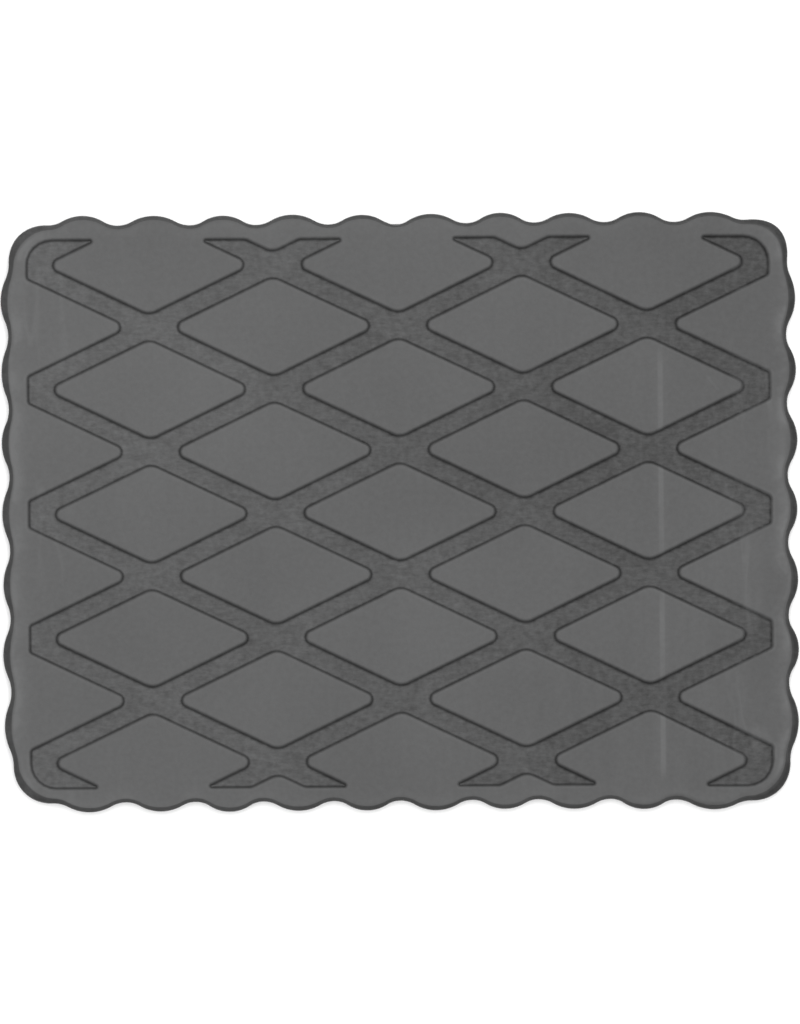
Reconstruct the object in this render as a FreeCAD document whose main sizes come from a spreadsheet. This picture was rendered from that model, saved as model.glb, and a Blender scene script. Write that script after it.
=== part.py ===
"""Seedling heat mat, a moulded rubber bench mat with a heating cable inside.

FreeCAD 1.1 macro, millimetres. Two rubber covers are bonded at a parting plane half-way up. Between
them, in a shallow cavity, lie an insulating felt, a glass scrim, the heating cable in parallel runs,
tapes that hold the runs and an earthed aluminium foil. A flat junction box near the rear rim holds
the crimps, the thermal cut-out and the inner end of the cord gland.

Frame: origin at the centre of the underside, +X along the long side, +Y towards the rear edge,
where the cord goes in, and +Z up towards the raised pads.
"""

import FreeCAD, Part
import math
import os

import Sketcher

Vector = FreeCAD.Vector
UP = Vector(0, 0, 1)

SIZES = [
    # The mat as a whole
    ("mat_length", 609.6, "overall length, over the scallops"),
    ("mat_width", 457.2, "overall width, over the scallops"),
    ("mat_thickness", 12.7, "underside to the tops of the pads"),
    # Scalloped rim
    ("scallop_pitch", 54.0, "wanted distance from one lobe to the next"),
    ("scallop_depth", 7.7, "valley to lobe at the parting plane"),
    ("lobe_share", 0.6, "share of the scallop's radii that the lobe has"),
    ("rim_corner_radius", 30.0, "corner arc, at the valley line"),
    ("foot_inset", 0.6, "how far the rim draws in at the underside"),
    ("shoulder_drop", 3.0, "height of the rounded shoulder below the top"),
    ("shoulder_inset", 0.5, "how far the valleys draw in at the foot of the shoulder"),
    ("shoulder_depth", 6.7, "valley to lobe at the foot of the shoulder"),
    ("crown_inset", 2.2, "how far the valleys draw in at the top"),
    ("crown_depth", 5.0, "valley to lobe at the top"),
    # Raised pads and the channels between them
    ("pad_pitch_long", 190.5, "pad to pad along X"),
    ("pad_pitch_short", 95.25, "pad to pad along Y"),
    ("tip_gap_long", 30.5, "gap between the sharp side tips of two pads"),
    ("tip_gap_short", 18.45, "gap between the sharp end tips of two pads"),
    ("pad_side_radius", 5.3, "rounding of the two sharp corners of a pad"),
    ("pad_end_radius", 13.0, "rounding of the two blunt corners of a pad"),
    ("channel_depth", 2.7, "pad top to channel floor"),
    ("wall_run", 2.0, "how far a channel wall leans out over its height"),
    ("end_border", 13.4, "plain border at the short sides, from the valley line"),
    ("side_border", 11.3, "plain border at the long sides, from the valley line"),
    ("channel_corner_radius", 19.0, "corner of the area that the channels fill"),
    # Underside
    ("groove_pitch", 16.0, "drain groove to drain groove"),
    ("groove_width", 4.0, "width of a drain groove"),
    ("groove_depth", 0.8, "depth of a drain groove"),
    ("groove_border", 24.0, "plain border round the grooves, from the valley line"),
    # Heater cavity and the sheets in it
    ("bond_width", 19.0, "bonded land round the cavity, from the valley line"),
    ("core_corner_radius", 14.0, "corner of the cavity"),
    ("core_fit", 1.0, "side clearance of the sheets in the cavity"),
    ("felt_thickness", 0.8, "insulating felt"),
    ("scrim_thickness", 0.4, "glass scrim"),
    ("scrim_pitch", 20.0, "wanted strand to strand"),
    ("scrim_strand", 1.4, "width of a strand"),
    ("tape_thickness", 0.12, "holding tape"),
    ("tape_width", 20.0, "holding tape"),
    ("tape_spacing", 140.0, "holding tape to holding tape"),
    ("foil_thickness", 0.15, "earthed foil"),
    ("layer_gap", 0.04, "slack under and over the heating cable"),
    ("bay_margin", 5.0, "felt and scrim to the joints and the junction box"),
    ("foil_notch_clearance", 2.5, "foil to junction box"),
    # Heating cable
    ("heat_core_radius", 0.35, "resistance core"),
    ("heat_jacket_radius", 0.9, "silicone jacket"),
    ("run_spacing", 19.5, "wanted distance between parallel runs"),
    ("run_margin", 14.0, "outermost run to the cavity wall"),
    ("return_spacing", 14.0, "return run to the ends of the others"),
    ("first_run_drop", 16.0, "first full run below the line of the joints"),
    ("tape_overhang", 4.0, "holding tape past the outermost runs"),
    ("lead_drop", 22.0, "line of the joints below the rear face of the box"),
    ("joint_gap", 17.0, "junction box to hot to cold joint"),
    ("joint_length", 10.0, "crimp between heating core and cold lead"),
    ("joint_radius", 0.85, "crimp between heating core and cold lead"),
    ("joint_sleeve_wall", 0.15, "sleeve over that crimp"),
    ("sleeve_overlap", 3.0, "sleeve past each end of the crimp in it"),
    ("strip_length", 4.0, "bare conductor inside a crimp"),
    # Cold leads
    ("lead_core_radius", 0.45, "copper conductor"),
    ("lead_jacket_radius", 0.9, "lead insulation"),
    ("lead_hole_clearance", 0.15, "hole in the box round a lead, radial"),
    # Junction box
    ("box_length", 62.0, "along X"),
    ("box_width", 28.0, "along Y"),
    ("box_cover", 1.3, "rubber under and over the box"),
    ("box_setback", 20.9, "rear face of the box from the valley line"),
    ("box_wall", 1.0, "walls, floor and roof"),
    ("box_corner_radius", 2.5, "outer corners"),
    ("box_pocket_clearance", 0.15, "rubber to the sides of the box"),
    ("box_island_margin", 1.5, "rubber left at full height round the box"),
    ("gasket_thickness", 0.6, "between base and lid"),
    ("boss_radius", 2.3, "screw boss"),
    ("boss_inset", 2.8, "screw axis from the outer faces"),
    ("screw_radius", 0.9, "screw thread, outside"),
    ("screw_clearance", 0.15, "clearance hole in lid and gasket, radial"),
    ("screw_head_radius", 1.7, "screw head"),
    ("screw_head_height", 1.0, "screw head"),
    ("screw_head_clearance", 0.2, "counterbore round the head, radial"),
    ("screw_tip_room", 0.9, "screw tip above the inside of the box"),
    ("drive_width", 0.4, "slot in the screw head"),
    ("drive_depth", 0.5, "slot in the screw head"),
    # Joints inside the box
    ("crimp_radius", 1.7, "crimp on the cord side"),
    ("crimp_bore_radius", 0.95, "its open end"),
    ("crimp_length", 10.0, "crimp on the cord side"),
    ("crimp_sleeve_wall", 0.35, "shrink sleeve over a crimp"),
    ("crimp_sleeve_overlap", 1.5, "sleeve past the closed end of a crimp"),
    ("crimp_margin", 6.0, "closed end of the neutral and earth crimps to the box wall"),
    ("earth_line_rise", 14.0, "earth lead behind the other two"),
    ("cutout_radius", 1.9, "thermal cut-out body"),
    ("cutout_length", 10.0, "thermal cut-out body"),
    ("cutout_nose", 1.0, "sealed taper at each end of the body"),
    ("cutout_margin", 5.0, "cut-out to the box wall"),
    ("cutout_gap", 6.0, "cut-out to the live crimp"),
    ("cutout_sleeve_wall", 0.25, "sleeve over the cut-out"),
    # Earth connection on the foil
    ("earth_gap", 23.0, "junction box to earth rivet"),
    ("rivet_radius", 1.5, "shank"),
    ("rivet_bore_radius", 0.8, "hollow end"),
    ("rivet_head_radius", 2.6, "head and rolled end"),
    ("rivet_head_height", 0.4, "head and rolled end"),
    ("ring_radius", 3.2, "ring terminal"),
    ("ring_thickness", 0.5, "ring terminal"),
    ("barrel_radius", 1.0, "ring terminal's barrel"),
    ("barrel_length", 5.0, "ring terminal's barrel"),
    ("rivet_pocket_clearance", 0.3, "rubber to rivet head"),
    # Cord gland
    ("gland_bore_radius", 3.1, "fits a round cord of 6.2 mm"),
    ("gland_wall", 1.5, "over and under the bore in the rubber"),
    ("gland_flat", 2.9, "half the flat between its two round sides"),
    ("neck_wall", 0.5, "over and under the bore in the wall of the box"),
    ("neck_flat", 2.4, "half the flat of the neck"),
    ("collar_clearance", 0.03, "collar to the floor and roof of the box"),
    ("collar_flat", 3.6, "half the flat of the collar"),
    ("collar_thickness", 1.8, "collar inside the box"),
    ("gland_setback", 0.5, "mouth of the gland inside the valley line"),
]

doc = FreeCAD.newDocument("SeedlingHeatMat")
sheet = doc.addObject("Spreadsheet::Sheet", "Sizes")
for row, (alias, value, note) in enumerate(SIZES, start=1):
    sheet.set(f"A{row}", note)
    sheet.set(f"B{row}", str(value))
    sheet.setAlias(f"B{row}", alias)
doc.recompute()

# Places and sizes that several pieces share, as expressions on the sheet
VALLEY_X = "(Sizes.mat_length / 2 - Sizes.scallop_depth)"
VALLEY_Y = "(Sizes.mat_width / 2 - Sizes.scallop_depth)"
PARTING = "(Sizes.mat_thickness / 2)"
CHANNEL_FLOOR = "(Sizes.mat_thickness - Sizes.channel_depth)"
CORE_X = f"({VALLEY_X} - Sizes.bond_width)"
CORE_Y = f"({VALLEY_Y} - Sizes.bond_width)"
SHEET_X = f"({CORE_X} - Sizes.core_fit)"
SHEET_Y = f"({CORE_Y} - Sizes.core_fit)"
FOIL_BOTTOM = f"({PARTING} - Sizes.foil_thickness)"
TAPE_BOTTOM = f"({FOIL_BOTTOM} - Sizes.layer_gap - Sizes.tape_thickness)"
CABLE_RADIUS = "max(Sizes.heat_jacket_radius; Sizes.lead_jacket_radius)"
CABLE_Z = f"({TAPE_BOTTOM} - {CABLE_RADIUS})"
SCRIM_TOP = f"({CABLE_Z} - {CABLE_RADIUS} - Sizes.layer_gap)"
FELT_TOP = f"({SCRIM_TOP} - Sizes.scrim_thickness)"
CORE_FLOOR = f"({FELT_TOP} - Sizes.felt_thickness)"
BOX_SIDE = "(Sizes.box_length / 2)"
BOX_REAR = f"({VALLEY_Y} - Sizes.box_setback)"
BOX_FRONT = f"({BOX_REAR} - Sizes.box_width)"
BOX_BOTTOM = "Sizes.box_cover"
BOX_TOP = "(Sizes.mat_thickness - Sizes.box_cover)"
BOX_INSIDE = f"({BOX_BOTTOM} + Sizes.box_wall)"
SPLIT_LOW = f"({PARTING} - Sizes.gasket_thickness / 2)"
SPLIT_HIGH = f"({PARTING} + Sizes.gasket_thickness / 2)"
JOINT_Y = f"({BOX_REAR} - Sizes.lead_drop)"
EARTH_Y = f"({JOINT_Y} + Sizes.earth_line_rise)"
FIRST_RUN = f"({JOINT_Y} - Sizes.first_run_drop)"
LAST_RUN = f"(-{CORE_Y} + Sizes.run_margin)"
JOINT_INNER = f"({BOX_SIDE} + Sizes.joint_gap)"
JOINT_OUTER = f"({JOINT_INNER} + Sizes.joint_length)"
BAY_X = f"({JOINT_OUTER} + Sizes.sleeve_overlap + Sizes.bay_margin)"
BAY_REACH = f"({SHEET_Y} - {BOX_FRONT} + Sizes.bay_margin)"
CUTOUT_LEFT = f"(-{BOX_SIDE} + Sizes.box_wall + Sizes.cutout_margin)"
LIVE_CLOSED = f"({CUTOUT_LEFT} + Sizes.cutout_length + Sizes.cutout_gap)"
NEUTRAL_CLOSED = f"({BOX_SIDE} - Sizes.box_wall - Sizes.crimp_margin)"
EARTH_X = f"({BOX_SIDE} + Sizes.earth_gap)"
SCREW_X = f"({BOX_SIDE} - Sizes.boss_inset)"
SCREW_NEAR = f"({BOX_FRONT} + Sizes.boss_inset)"
SCREW_FAR = f"({BOX_REAR} - Sizes.boss_inset)"
RIM_REACH = f"({VALLEY_Y} + Sizes.scallop_depth)"


def value_of(expression):
    """A number worked out from the sheet."""
    return float(sheet.evalExpression(expression))


# ---------------------------------------------------------------- features


def fixed_shape(name, shape):
    """A Part::Feature for a shape that no ordinary feature makes."""
    feature = doc.addObject("Part::Feature", name)
    feature.Shape = shape
    return feature


def block(name, corner, size):
    """A box whose corner and size are expressions."""
    box = doc.addObject("Part::Box", name)
    for side, expression in zip(("Length", "Width", "Height"), size):
        box.setExpression(side, expression)
    for axis, expression in zip("xyz", corner):
        box.setExpression(f"Placement.Base.{axis}", expression)
    return box


def drill(name, axis, place, radius, length):
    """A cylinder along X, Y or Z from a place, all of it in expressions."""
    turns = {
        "X": FreeCAD.Rotation(Vector(0, 1, 0), 90),
        "Y": FreeCAD.Rotation(Vector(1, 0, 0), -90),
        "Z": FreeCAD.Rotation(),
    }
    cylinder = doc.addObject("Part::Cylinder", name)
    cylinder.Placement.Rotation = turns[axis]
    cylinder.setExpression("Radius", radius)
    cylinder.setExpression("Height", length)
    for letter, expression in zip("xyz", place):
        cylinder.setExpression(f"Placement.Base.{letter}", expression)
    return cylinder


def joined(name, shapes):
    """Shapes fused into one."""
    fuse = doc.addObject("Part::MultiFuse", name)
    fuse.Shapes = shapes
    fuse.Refine = True
    return fuse


def cut(name, base, tools):
    """A shape less one tool, or less several as a compound."""
    tool = tools[0]
    if len(tools) > 1:
        tool = doc.addObject("Part::Compound", f"{name}_tools")
        tool.Links = tools
    result = doc.addObject("Part::Cut", name)
    result.Base = base
    result.Tool = tool
    return result


def origin_plane(body, role):
    """One of a body's own origin planes."""
    return next(item for item in body.Origin.OriginFeatures if item.Role == role)


def new_body(name):
    """An empty PartDesign body."""
    return doc.addObject("PartDesign::Body", name)


def new_sketch(body, name, role="XY_Plane", height="0"):
    """A sketch on one of the body's planes, lifted along the plane's normal."""
    sketch = body.newObject("Sketcher::SketchObject", name)
    sketch.AttachmentSupport = [(origin_plane(body, role), "")]
    sketch.MapMode = "FlatFace"
    sketch.setExpression("AttachmentOffset.Base.z", height)
    return sketch


def bound_polygon(sketch, corners):
    """A closed polygon with each corner held at a pair of expressions."""
    first = sketch.GeometryCount
    places = [(value_of(x), value_of(y)) for x, y in corners]
    for index, place in enumerate(places):
        following = places[(index + 1) % len(places)]
        sketch.addGeometry(Part.LineSegment(Vector(*place, 0), Vector(*following, 0)), False)
    for index in range(len(corners)):
        following = first + (index + 1) % len(corners)
        sketch.addConstraint(Sketcher.Constraint("Coincident", first + index, 2, following, 1))
    for index, (expressions, place) in enumerate(zip(corners, places)):
        for kind, expression, distance in zip(("DistanceX", "DistanceY"), expressions, place):
            held = sketch.addConstraint(
                Sketcher.Constraint(kind, -1, 1, first + index, 1, distance)
            )
            sketch.setExpression(f"Constraints[{held}]", expression)


def bound_circle(sketch, centre, radius):
    """A circle with its centre and radius held at expressions."""
    x, y, size = value_of(centre[0]), value_of(centre[1]), value_of(radius)
    circle = sketch.addGeometry(Part.Circle(Vector(x, y, 0), UP, size), False)
    for kind, expression, distance in (("DistanceX", centre[0], x), ("DistanceY", centre[1], y)):
        held = sketch.addConstraint(Sketcher.Constraint(kind, -1, 1, circle, 3, distance))
        sketch.setExpression(f"Constraints[{held}]", expression)
    held = sketch.addConstraint(Sketcher.Constraint("Radius", circle, size))
    sketch.setExpression(f"Constraints[{held}]", radius)


def pad(body, sketch, length):
    """Material from a sketch along its normal."""
    feature = body.newObject("PartDesign::Pad", f"{sketch.Name}_pad")
    feature.Profile = sketch
    feature.setExpression("Length", length)
    return feature


def pocket(body, sketch, length):
    """A cut from a sketch against its normal."""
    feature = body.newObject("PartDesign::Pocket", f"{sketch.Name}_pocket")
    feature.Profile = sketch
    feature.setExpression("Length", length)
    return feature


def round_uprights(body, base, radius, chosen):
    """Fillets on the upright edges that a test of their place picks."""
    doc.recompute()
    names = []
    for number, edge in enumerate(base.Shape.Edges, start=1):
        low, high = edge.Vertexes[0].Point, edge.Vertexes[-1].Point
        upright = abs(low.x - high.x) + abs(low.y - high.y) < 1e-6 < abs(low.z - high.z)
        if upright and chosen(low):
            names.append(f"Edge{number}")
    fillet = body.newObject("PartDesign::Fillet", f"{base.Name}_fillet")
    fillet.Base = (base, names)
    fillet.setExpression("Radius", radius)
    return fillet


def turned(name, profile, place):
    """A body of revolution about its own Z from a half profile of (radius, height)."""
    body = new_body(name)
    sketch = new_sketch(body, f"{name}_profile", "XZ_Plane")
    bound_polygon(sketch, profile)
    revolution = body.newObject("PartDesign::Revolution", f"{name}_turn")
    revolution.Profile = sketch
    revolution.ReferenceAxis = (sketch, ["V_Axis"])
    revolution.Angle = 360
    for letter, expression in zip("xyz", place):
        body.setExpression(f"Placement.Base.{letter}", expression)
    return body


def rod(name, place, outer, length, inner=None, back=False):
    """A round rod or tube along X from a place, or back from it."""
    body = new_body(name)
    sketch = new_sketch(body, f"{name}_section", "YZ_Plane")
    bound_circle(sketch, ("0", "0"), outer)
    if inner:
        bound_circle(sketch, ("0", "0"), inner)
    pad(body, sketch, length).Reversed = back
    for letter, expression in zip("xyz", place):
        body.setExpression(f"Placement.Base.{letter}", expression)
    return body


def stub(name, end, towards, line, radius, length):
    """A cylinder in the cable's plane, from an end towards +X ("1") or -X ("-1")."""
    low = f"({end})" if towards == "1" else f"({end}) - {length}"
    return drill(name, "X", (low, line, CABLE_Z), radius, length)


def obround(name, flat, half_height, start, length):
    """A bar with round sides along Y, centred on the parting plane."""
    bars = [
        block(
            f"{name}_middle",
            (f"-{flat}", start, f"{PARTING} - {half_height}"),
            (f"2 * {flat}", length, f"2 * {half_height}"),
        )
    ]
    for side, sign in (("left", "-"), ("right", "")):
        place = (f"{sign}{flat}", start, PARTING)
        bars.append(drill(f"{name}_{side}", "Y", place, half_height, length))
    return joined(name, bars)


# ---------------------------------------------------------------- outlines


def arc_through(start, middle, end):
    """The edge of an arc through three places."""
    return Part.Arc(start, middle, end).toShape()


def scalloped_side(start, along, outward, length, count, depth, share):
    """Arcs from valley to valley along one side, a round lobe between each two."""
    half_pitch = length / count / 2
    lean = 2 * math.atan(depth / half_pitch)
    radii = half_pitch / math.sin(lean)
    hollow = (1 - share) * radii

    def place(distance, height):
        return start + along * distance + outward * height

    turn_in = hollow * math.sin(lean)
    turn_height = hollow * (1 - math.cos(lean))
    half_in = hollow * math.sin(lean / 2)
    half_height = hollow * (1 - math.cos(lean / 2))
    edges = []
    for lobe in range(count):
        left = 2 * half_pitch * lobe
        right = left + 2 * half_pitch
        rise = place(left + turn_in, turn_height)
        fall = place(right - turn_in, turn_height)
        edges.append(arc_through(place(left, 0), place(left + half_in, half_height), rise))
        edges.append(arc_through(rise, place(left + half_pitch, depth), fall))
        edges.append(arc_through(fall, place(right - half_in, half_height), place(right, 0)))
    return edges


def scalloped_outline(height, inset, depth):
    """The rim at one height: a rounded rectangle with lobes, drawn in by an inset."""
    half = Vector(value_of(VALLEY_X) - inset, value_of(VALLEY_Y) - inset, 0)
    corner = sheet.rim_corner_radius - inset
    straight = (2 * (half.x - corner), 2 * (half.y - corner))
    counts = [max(2, round(length / sheet.scallop_pitch)) for length in straight]
    edges = []
    for side in range(4):
        turn = FreeCAD.Rotation(UP, 90 * side)
        along, outward = turn.multVec(Vector(1, 0, 0)), turn.multVec(Vector(0, -1, 0))
        reach = half.y if side % 2 == 0 else half.x
        start = outward * reach - along * (straight[side % 2] / 2) + UP * height
        edges += scalloped_side(
            start, along, outward, straight[side % 2], counts[side % 2], depth, sheet.lobe_share
        )
        end = start + along * straight[side % 2]
        centre = end - outward * corner
        middle = centre + (outward + along) * (corner * math.sqrt(0.5))
        edges.append(arc_through(end, middle, centre + along * corner))
    return Part.Wire(edges)


def rounded_rectangle(half_x, half_y, radius, height):
    """A rectangle with round corners, centred on the origin."""
    flat = (half_x - radius, half_y - radius)
    diagonal = radius * math.sqrt(0.5)
    edges = []
    for turn_x, turn_y in ((1, -1), (1, 1), (-1, 1), (-1, -1)):
        centre = Vector(turn_x * flat[0], turn_y * flat[1], height)
        side = centre + Vector(turn_x * radius, 0, 0)
        end = centre + Vector(0, turn_y * radius, 0)
        first, last = (end, side) if turn_x * turn_y < 0 else (side, end)
        middle = centre + Vector(turn_x * diagonal, turn_y * diagonal, 0)
        if edges:
            edges.append(Part.LineSegment(edges[-1].Vertexes[-1].Point, first).toShape())
        edges.append(arc_through(first, middle, last))
    edges.append(
        Part.LineSegment(edges[-1].Vertexes[-1].Point, edges[0].Vertexes[0].Point).toShape()
    )
    return Part.Wire(edges)


def diamond(centre, half_length, half_width, side_radius, end_radius):
    """A diamond with round corners: sharp ones at the sides, blunt ones at the ends."""
    lean = math.atan2(half_width, half_length)
    side_back = side_radius / math.sin(lean)
    end_back = end_radius / math.cos(lean)
    tips = [
        (Vector(1, 0, 0), half_length - side_back, side_radius, math.pi / 2 - lean),
        (Vector(0, 1, 0), half_width - end_back, end_radius, lean),
        (Vector(-1, 0, 0), half_length - side_back, side_radius, math.pi / 2 - lean),
        (Vector(0, -1, 0), half_width - end_back, end_radius, lean),
    ]
    edges = []
    for outward, reach, radius, spread in tips:
        middle = centre + outward * (reach + radius)
        turns = [FreeCAD.Rotation(UP, sign * math.degrees(spread)) for sign in (-1, 1)]
        start, end = (centre + outward * reach + t.multVec(outward) * radius for t in turns)
        if edges:
            edges.append(Part.LineSegment(edges[-1].Vertexes[-1].Point, start).toShape())
        edges.append(arc_through(start, middle, end))
    edges.append(
        Part.LineSegment(edges[-1].Vertexes[-1].Point, edges[0].Vertexes[0].Point).toShape()
    )
    return Part.Wire(edges)


# ---------------------------------------------------------------- rubber covers


def pad_places():
    """Centres of the pads that reach into the channelled area, row by row."""
    limit_x = value_of(f"{VALLEY_X} - Sizes.end_border")
    limit_y = value_of(f"{VALLEY_Y} - Sizes.side_border")
    half_length = (sheet.pad_pitch_long - sheet.tip_gap_long) / 2
    half_width = (sheet.pad_pitch_short - sheet.tip_gap_short) / 2
    columns = math.ceil((limit_x + half_length) / sheet.pad_pitch_long * 2)
    rows = math.ceil((limit_y + half_width) / sheet.pad_pitch_short * 2)
    places = []
    for row in range(-rows, rows + 1):
        for column in range(-columns, columns + 1):
            x = column * sheet.pad_pitch_long / 2
            y = row * sheet.pad_pitch_short / 2
            inside = abs(x) < limit_x + half_length and abs(y) < limit_y + half_width
            if (row + column) % 2 == 0 and inside:
                places.append(Vector(x, y, 0))
    return places


def channel_tool():
    """The channels: a shallow tray less a leaning block for each pad and one over the box."""
    low, high = value_of(CHANNEL_FLOOR), sheet.mat_thickness
    run = sheet.wall_run / 2
    half_x = value_of(f"{VALLEY_X} - Sizes.end_border")
    half_y = value_of(f"{VALLEY_Y} - Sizes.side_border")
    corner = sheet.channel_corner_radius
    tray = Part.makeLoft(
        [
            rounded_rectangle(half_x - run, half_y - run, corner - run, low),
            rounded_rectangle(half_x + run, half_y + run, corner + run, high),
        ],
        True,
        True,
    )
    half_length = (sheet.pad_pitch_long - sheet.tip_gap_long) / 2
    half_width = (sheet.pad_pitch_short - sheet.tip_gap_short) / 2
    lean = math.atan2(half_width, half_length)
    side_radius, end_radius = sheet.pad_side_radius, sheet.pad_end_radius
    blocks = []
    for place in pad_places():
        levels = []
        for height, grow in ((low - run, run), (low, run), (high, -run), (high + run, -run)):
            centre = Vector(place.x, place.y, height)
            levels.append(
                diamond(
                    centre,
                    half_length + grow / math.sin(lean),
                    half_width + grow / math.cos(lean),
                    side_radius + grow,
                    end_radius + grow,
                )
            )
        blocks.append(Part.makeLoft(levels, True, True))
    margin = "Sizes.box_island_margin"
    island = block(
        "box_island",
        (f"-{BOX_SIDE} - {margin}", f"{BOX_FRONT} - {margin}", f"{CHANNEL_FLOOR} - {margin}"),
        (
            f"2 * ({BOX_SIDE} + {margin})",
            f"{RIM_REACH} - {BOX_FRONT} + {margin}",
            f"Sizes.channel_depth + 2 * {margin}",
        ),
    )
    return cut(
        "channels",
        fixed_shape("channel_tray", tray),
        [fixed_shape("pad_blocks", Part.makeCompound(blocks)), island],
    )


def junction_pocket():
    """The hollow that the junction box fills, in both covers."""
    clearance = "Sizes.box_pocket_clearance"
    return block(
        "junction_pocket",
        (
            f"-{BOX_SIDE} - {clearance}",
            f"{BOX_FRONT} - {clearance}",
            BOX_BOTTOM,
        ),
        (
            f"Sizes.box_length + 2 * {clearance}",
            f"Sizes.box_width + {clearance}",
            f"{BOX_TOP} - {BOX_BOTTOM}",
        ),
    )


def drain_grooves():
    """Straight round-ended grooves across the underside, kept clear of the junction box."""
    reach_x = value_of(f"{VALLEY_X} - Sizes.groove_border")
    reach_y = value_of(f"{VALLEY_Y} - Sizes.groove_border")
    clear_of_box = value_of(f"{BOX_FRONT} - Sizes.groove_pitch")
    radius = sheet.groove_width / 2
    count = math.floor((reach_x - radius) / sheet.groove_pitch + 0.5)
    grooves = []
    for number in range(-count, count):
        x = (number + 0.5) * sheet.groove_pitch
        under_box = abs(x) < sheet.box_length / 2 + sheet.groove_pitch / 2
        low, high = -reach_y + radius, (clear_of_box if under_box else reach_y) - radius
        corners = [Vector(x + radius, low, 0), Vector(x + radius, high, 0)]
        corners += [Vector(x - radius, high, 0), Vector(x - radius, low, 0)]
        outline = Part.Wire(
            [
                Part.LineSegment(corners[0], corners[1]).toShape(),
                arc_through(corners[1], Vector(x, high + radius, 0), corners[2]),
                Part.LineSegment(corners[2], corners[3]).toShape(),
                arc_through(corners[3], Vector(x, low - radius, 0), corners[0]),
            ]
        )
        grooves.append(Part.Face(outline).extrude(UP * sheet.groove_depth))
    return fixed_shape("drain_grooves", Part.makeCompound(grooves))


def rubber_covers():
    """The two moulded shells, cut by the same pocket and gland seat."""
    parting, top = value_of(PARTING), sheet.mat_thickness
    foot = scalloped_outline(0, sheet.foot_inset, sheet.scallop_depth)
    widest = scalloped_outline(parting, 0, sheet.scallop_depth)
    shoulder = scalloped_outline(
        top - sheet.shoulder_drop, sheet.shoulder_inset, sheet.shoulder_depth
    )
    crown = scalloped_outline(top, sheet.crown_inset, sheet.crown_depth)
    lower = fixed_shape("bottom_slab", Part.makeLoft([foot, widest], True, True))
    upper = fixed_shape("top_slab", Part.makeLoft([widest, shoulder, crown], True, True))
    floor = value_of(CORE_FLOOR)
    core = rounded_rectangle(
        value_of(CORE_X), value_of(CORE_Y), sheet.core_corner_radius, floor
    )
    cavity = fixed_shape("heater_cavity", Part.Face(core).extrude(UP * (parting - floor)))
    pocket_tool = junction_pocket()
    seat = obround(
        "gland_seat",
        "Sizes.gland_flat",
        "(Sizes.gland_bore_radius + Sizes.gland_wall)",
        BOX_REAR,
        f"{RIM_REACH} - {BOX_REAR}",
    )
    rivet_room = drill(
        "rivet_pocket",
        "Z",
        (EARTH_X, EARTH_Y, PARTING),
        "Sizes.rivet_head_radius + Sizes.rivet_pocket_clearance",
        "Sizes.rivet_head_height + Sizes.rivet_pocket_clearance",
    )
    bottom_cover = cut("bottom_cover", lower, [cavity, pocket_tool, seat, drain_grooves()])
    top_relief = cut("top_relief", upper, [channel_tool()])
    top_cover = cut("top_cover", top_relief, [pocket_tool, seat, rivet_room])
    return [bottom_cover, top_cover]


# ---------------------------------------------------------------- sheets of the heater


def notched_corners(half_length, reach):
    """Corners of a sheet that fills the cavity, with a bay at the middle of its rear edge."""
    inner = f"({SHEET_Y} - {reach})"
    return [
        (f"-{SHEET_X}", f"-{SHEET_Y}"),
        (SHEET_X, f"-{SHEET_Y}"),
        (SHEET_X, SHEET_Y),
        (half_length, SHEET_Y),
        (half_length, inner),
        (f"-{half_length}", inner),
        (f"-{half_length}", SHEET_Y),
        (f"-{SHEET_X}", SHEET_Y),
    ]


def heater_sheet(name, height, thickness, half_length, reach):
    """A notched sheet with round outer corners."""
    body = new_body(name)
    sketch = new_sketch(body, f"{name}_outline", height=height)
    bound_polygon(sketch, notched_corners(half_length, reach))
    plate = pad(body, sketch, thickness)
    edge = value_of(SHEET_X) - 1e-3
    round_uprights(
        body,
        plate,
        "Sizes.core_corner_radius - Sizes.core_fit",
        lambda point: abs(point.x) > edge,
    )
    return body


def carrier_scrim():
    """An open glass net: a notched sheet with a square hole between each four strands."""
    half_x, half_y = value_of(SHEET_X), value_of(SHEET_Y)
    bay_x, bay_y = value_of(BAY_X), half_y - value_of(BAY_REACH)
    corners = [(value_of(x), value_of(y)) for x, y in notched_corners(BAY_X, BAY_REACH)]
    bottom = value_of(FELT_TOP)
    outline = Part.makePolygon([Vector(x, y, bottom) for x, y in corners + corners[:1]])
    strand = sheet.scrim_strand
    counts = [round((2 * half - strand) / sheet.scrim_pitch) for half in (half_x, half_y)]
    pitch_x, pitch_y = ((2 * h - strand) / n for h, n in zip((half_x, half_y), counts))
    holes = []
    for column in range(counts[0]):
        for line in range(counts[1]):
            x = -half_x + strand + column * pitch_x
            y = -half_y + strand + line * pitch_y
            wide, tall = pitch_x - strand, pitch_y - strand
            beside_bay = x < bay_x + strand and x + wide > -bay_x - strand
            past_bay = beside_bay and y + tall > bay_y - strand
            corner_hole = column in (0, counts[0] - 1) and line in (0, counts[1] - 1)
            if not past_bay and not corner_hole:
                low = Vector(x, y, bottom)
                square = [low, low + Vector(wide, 0, 0), low + Vector(wide, tall, 0)]
                square += [low + Vector(0, tall, 0), low]
                holes.append(Part.makePolygon(square))
    net = Part.makeFace([outline] + holes, "Part::FaceMakerCheese")
    net = net.extrude(UP * sheet.scrim_thickness)
    corner = sheet.core_corner_radius - sheet.core_fit
    trim = Part.Face(rounded_rectangle(half_x, half_y, corner, bottom))
    return fixed_shape("carrier_scrim", net.common(trim.extrude(UP * sheet.scrim_thickness)))


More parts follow.
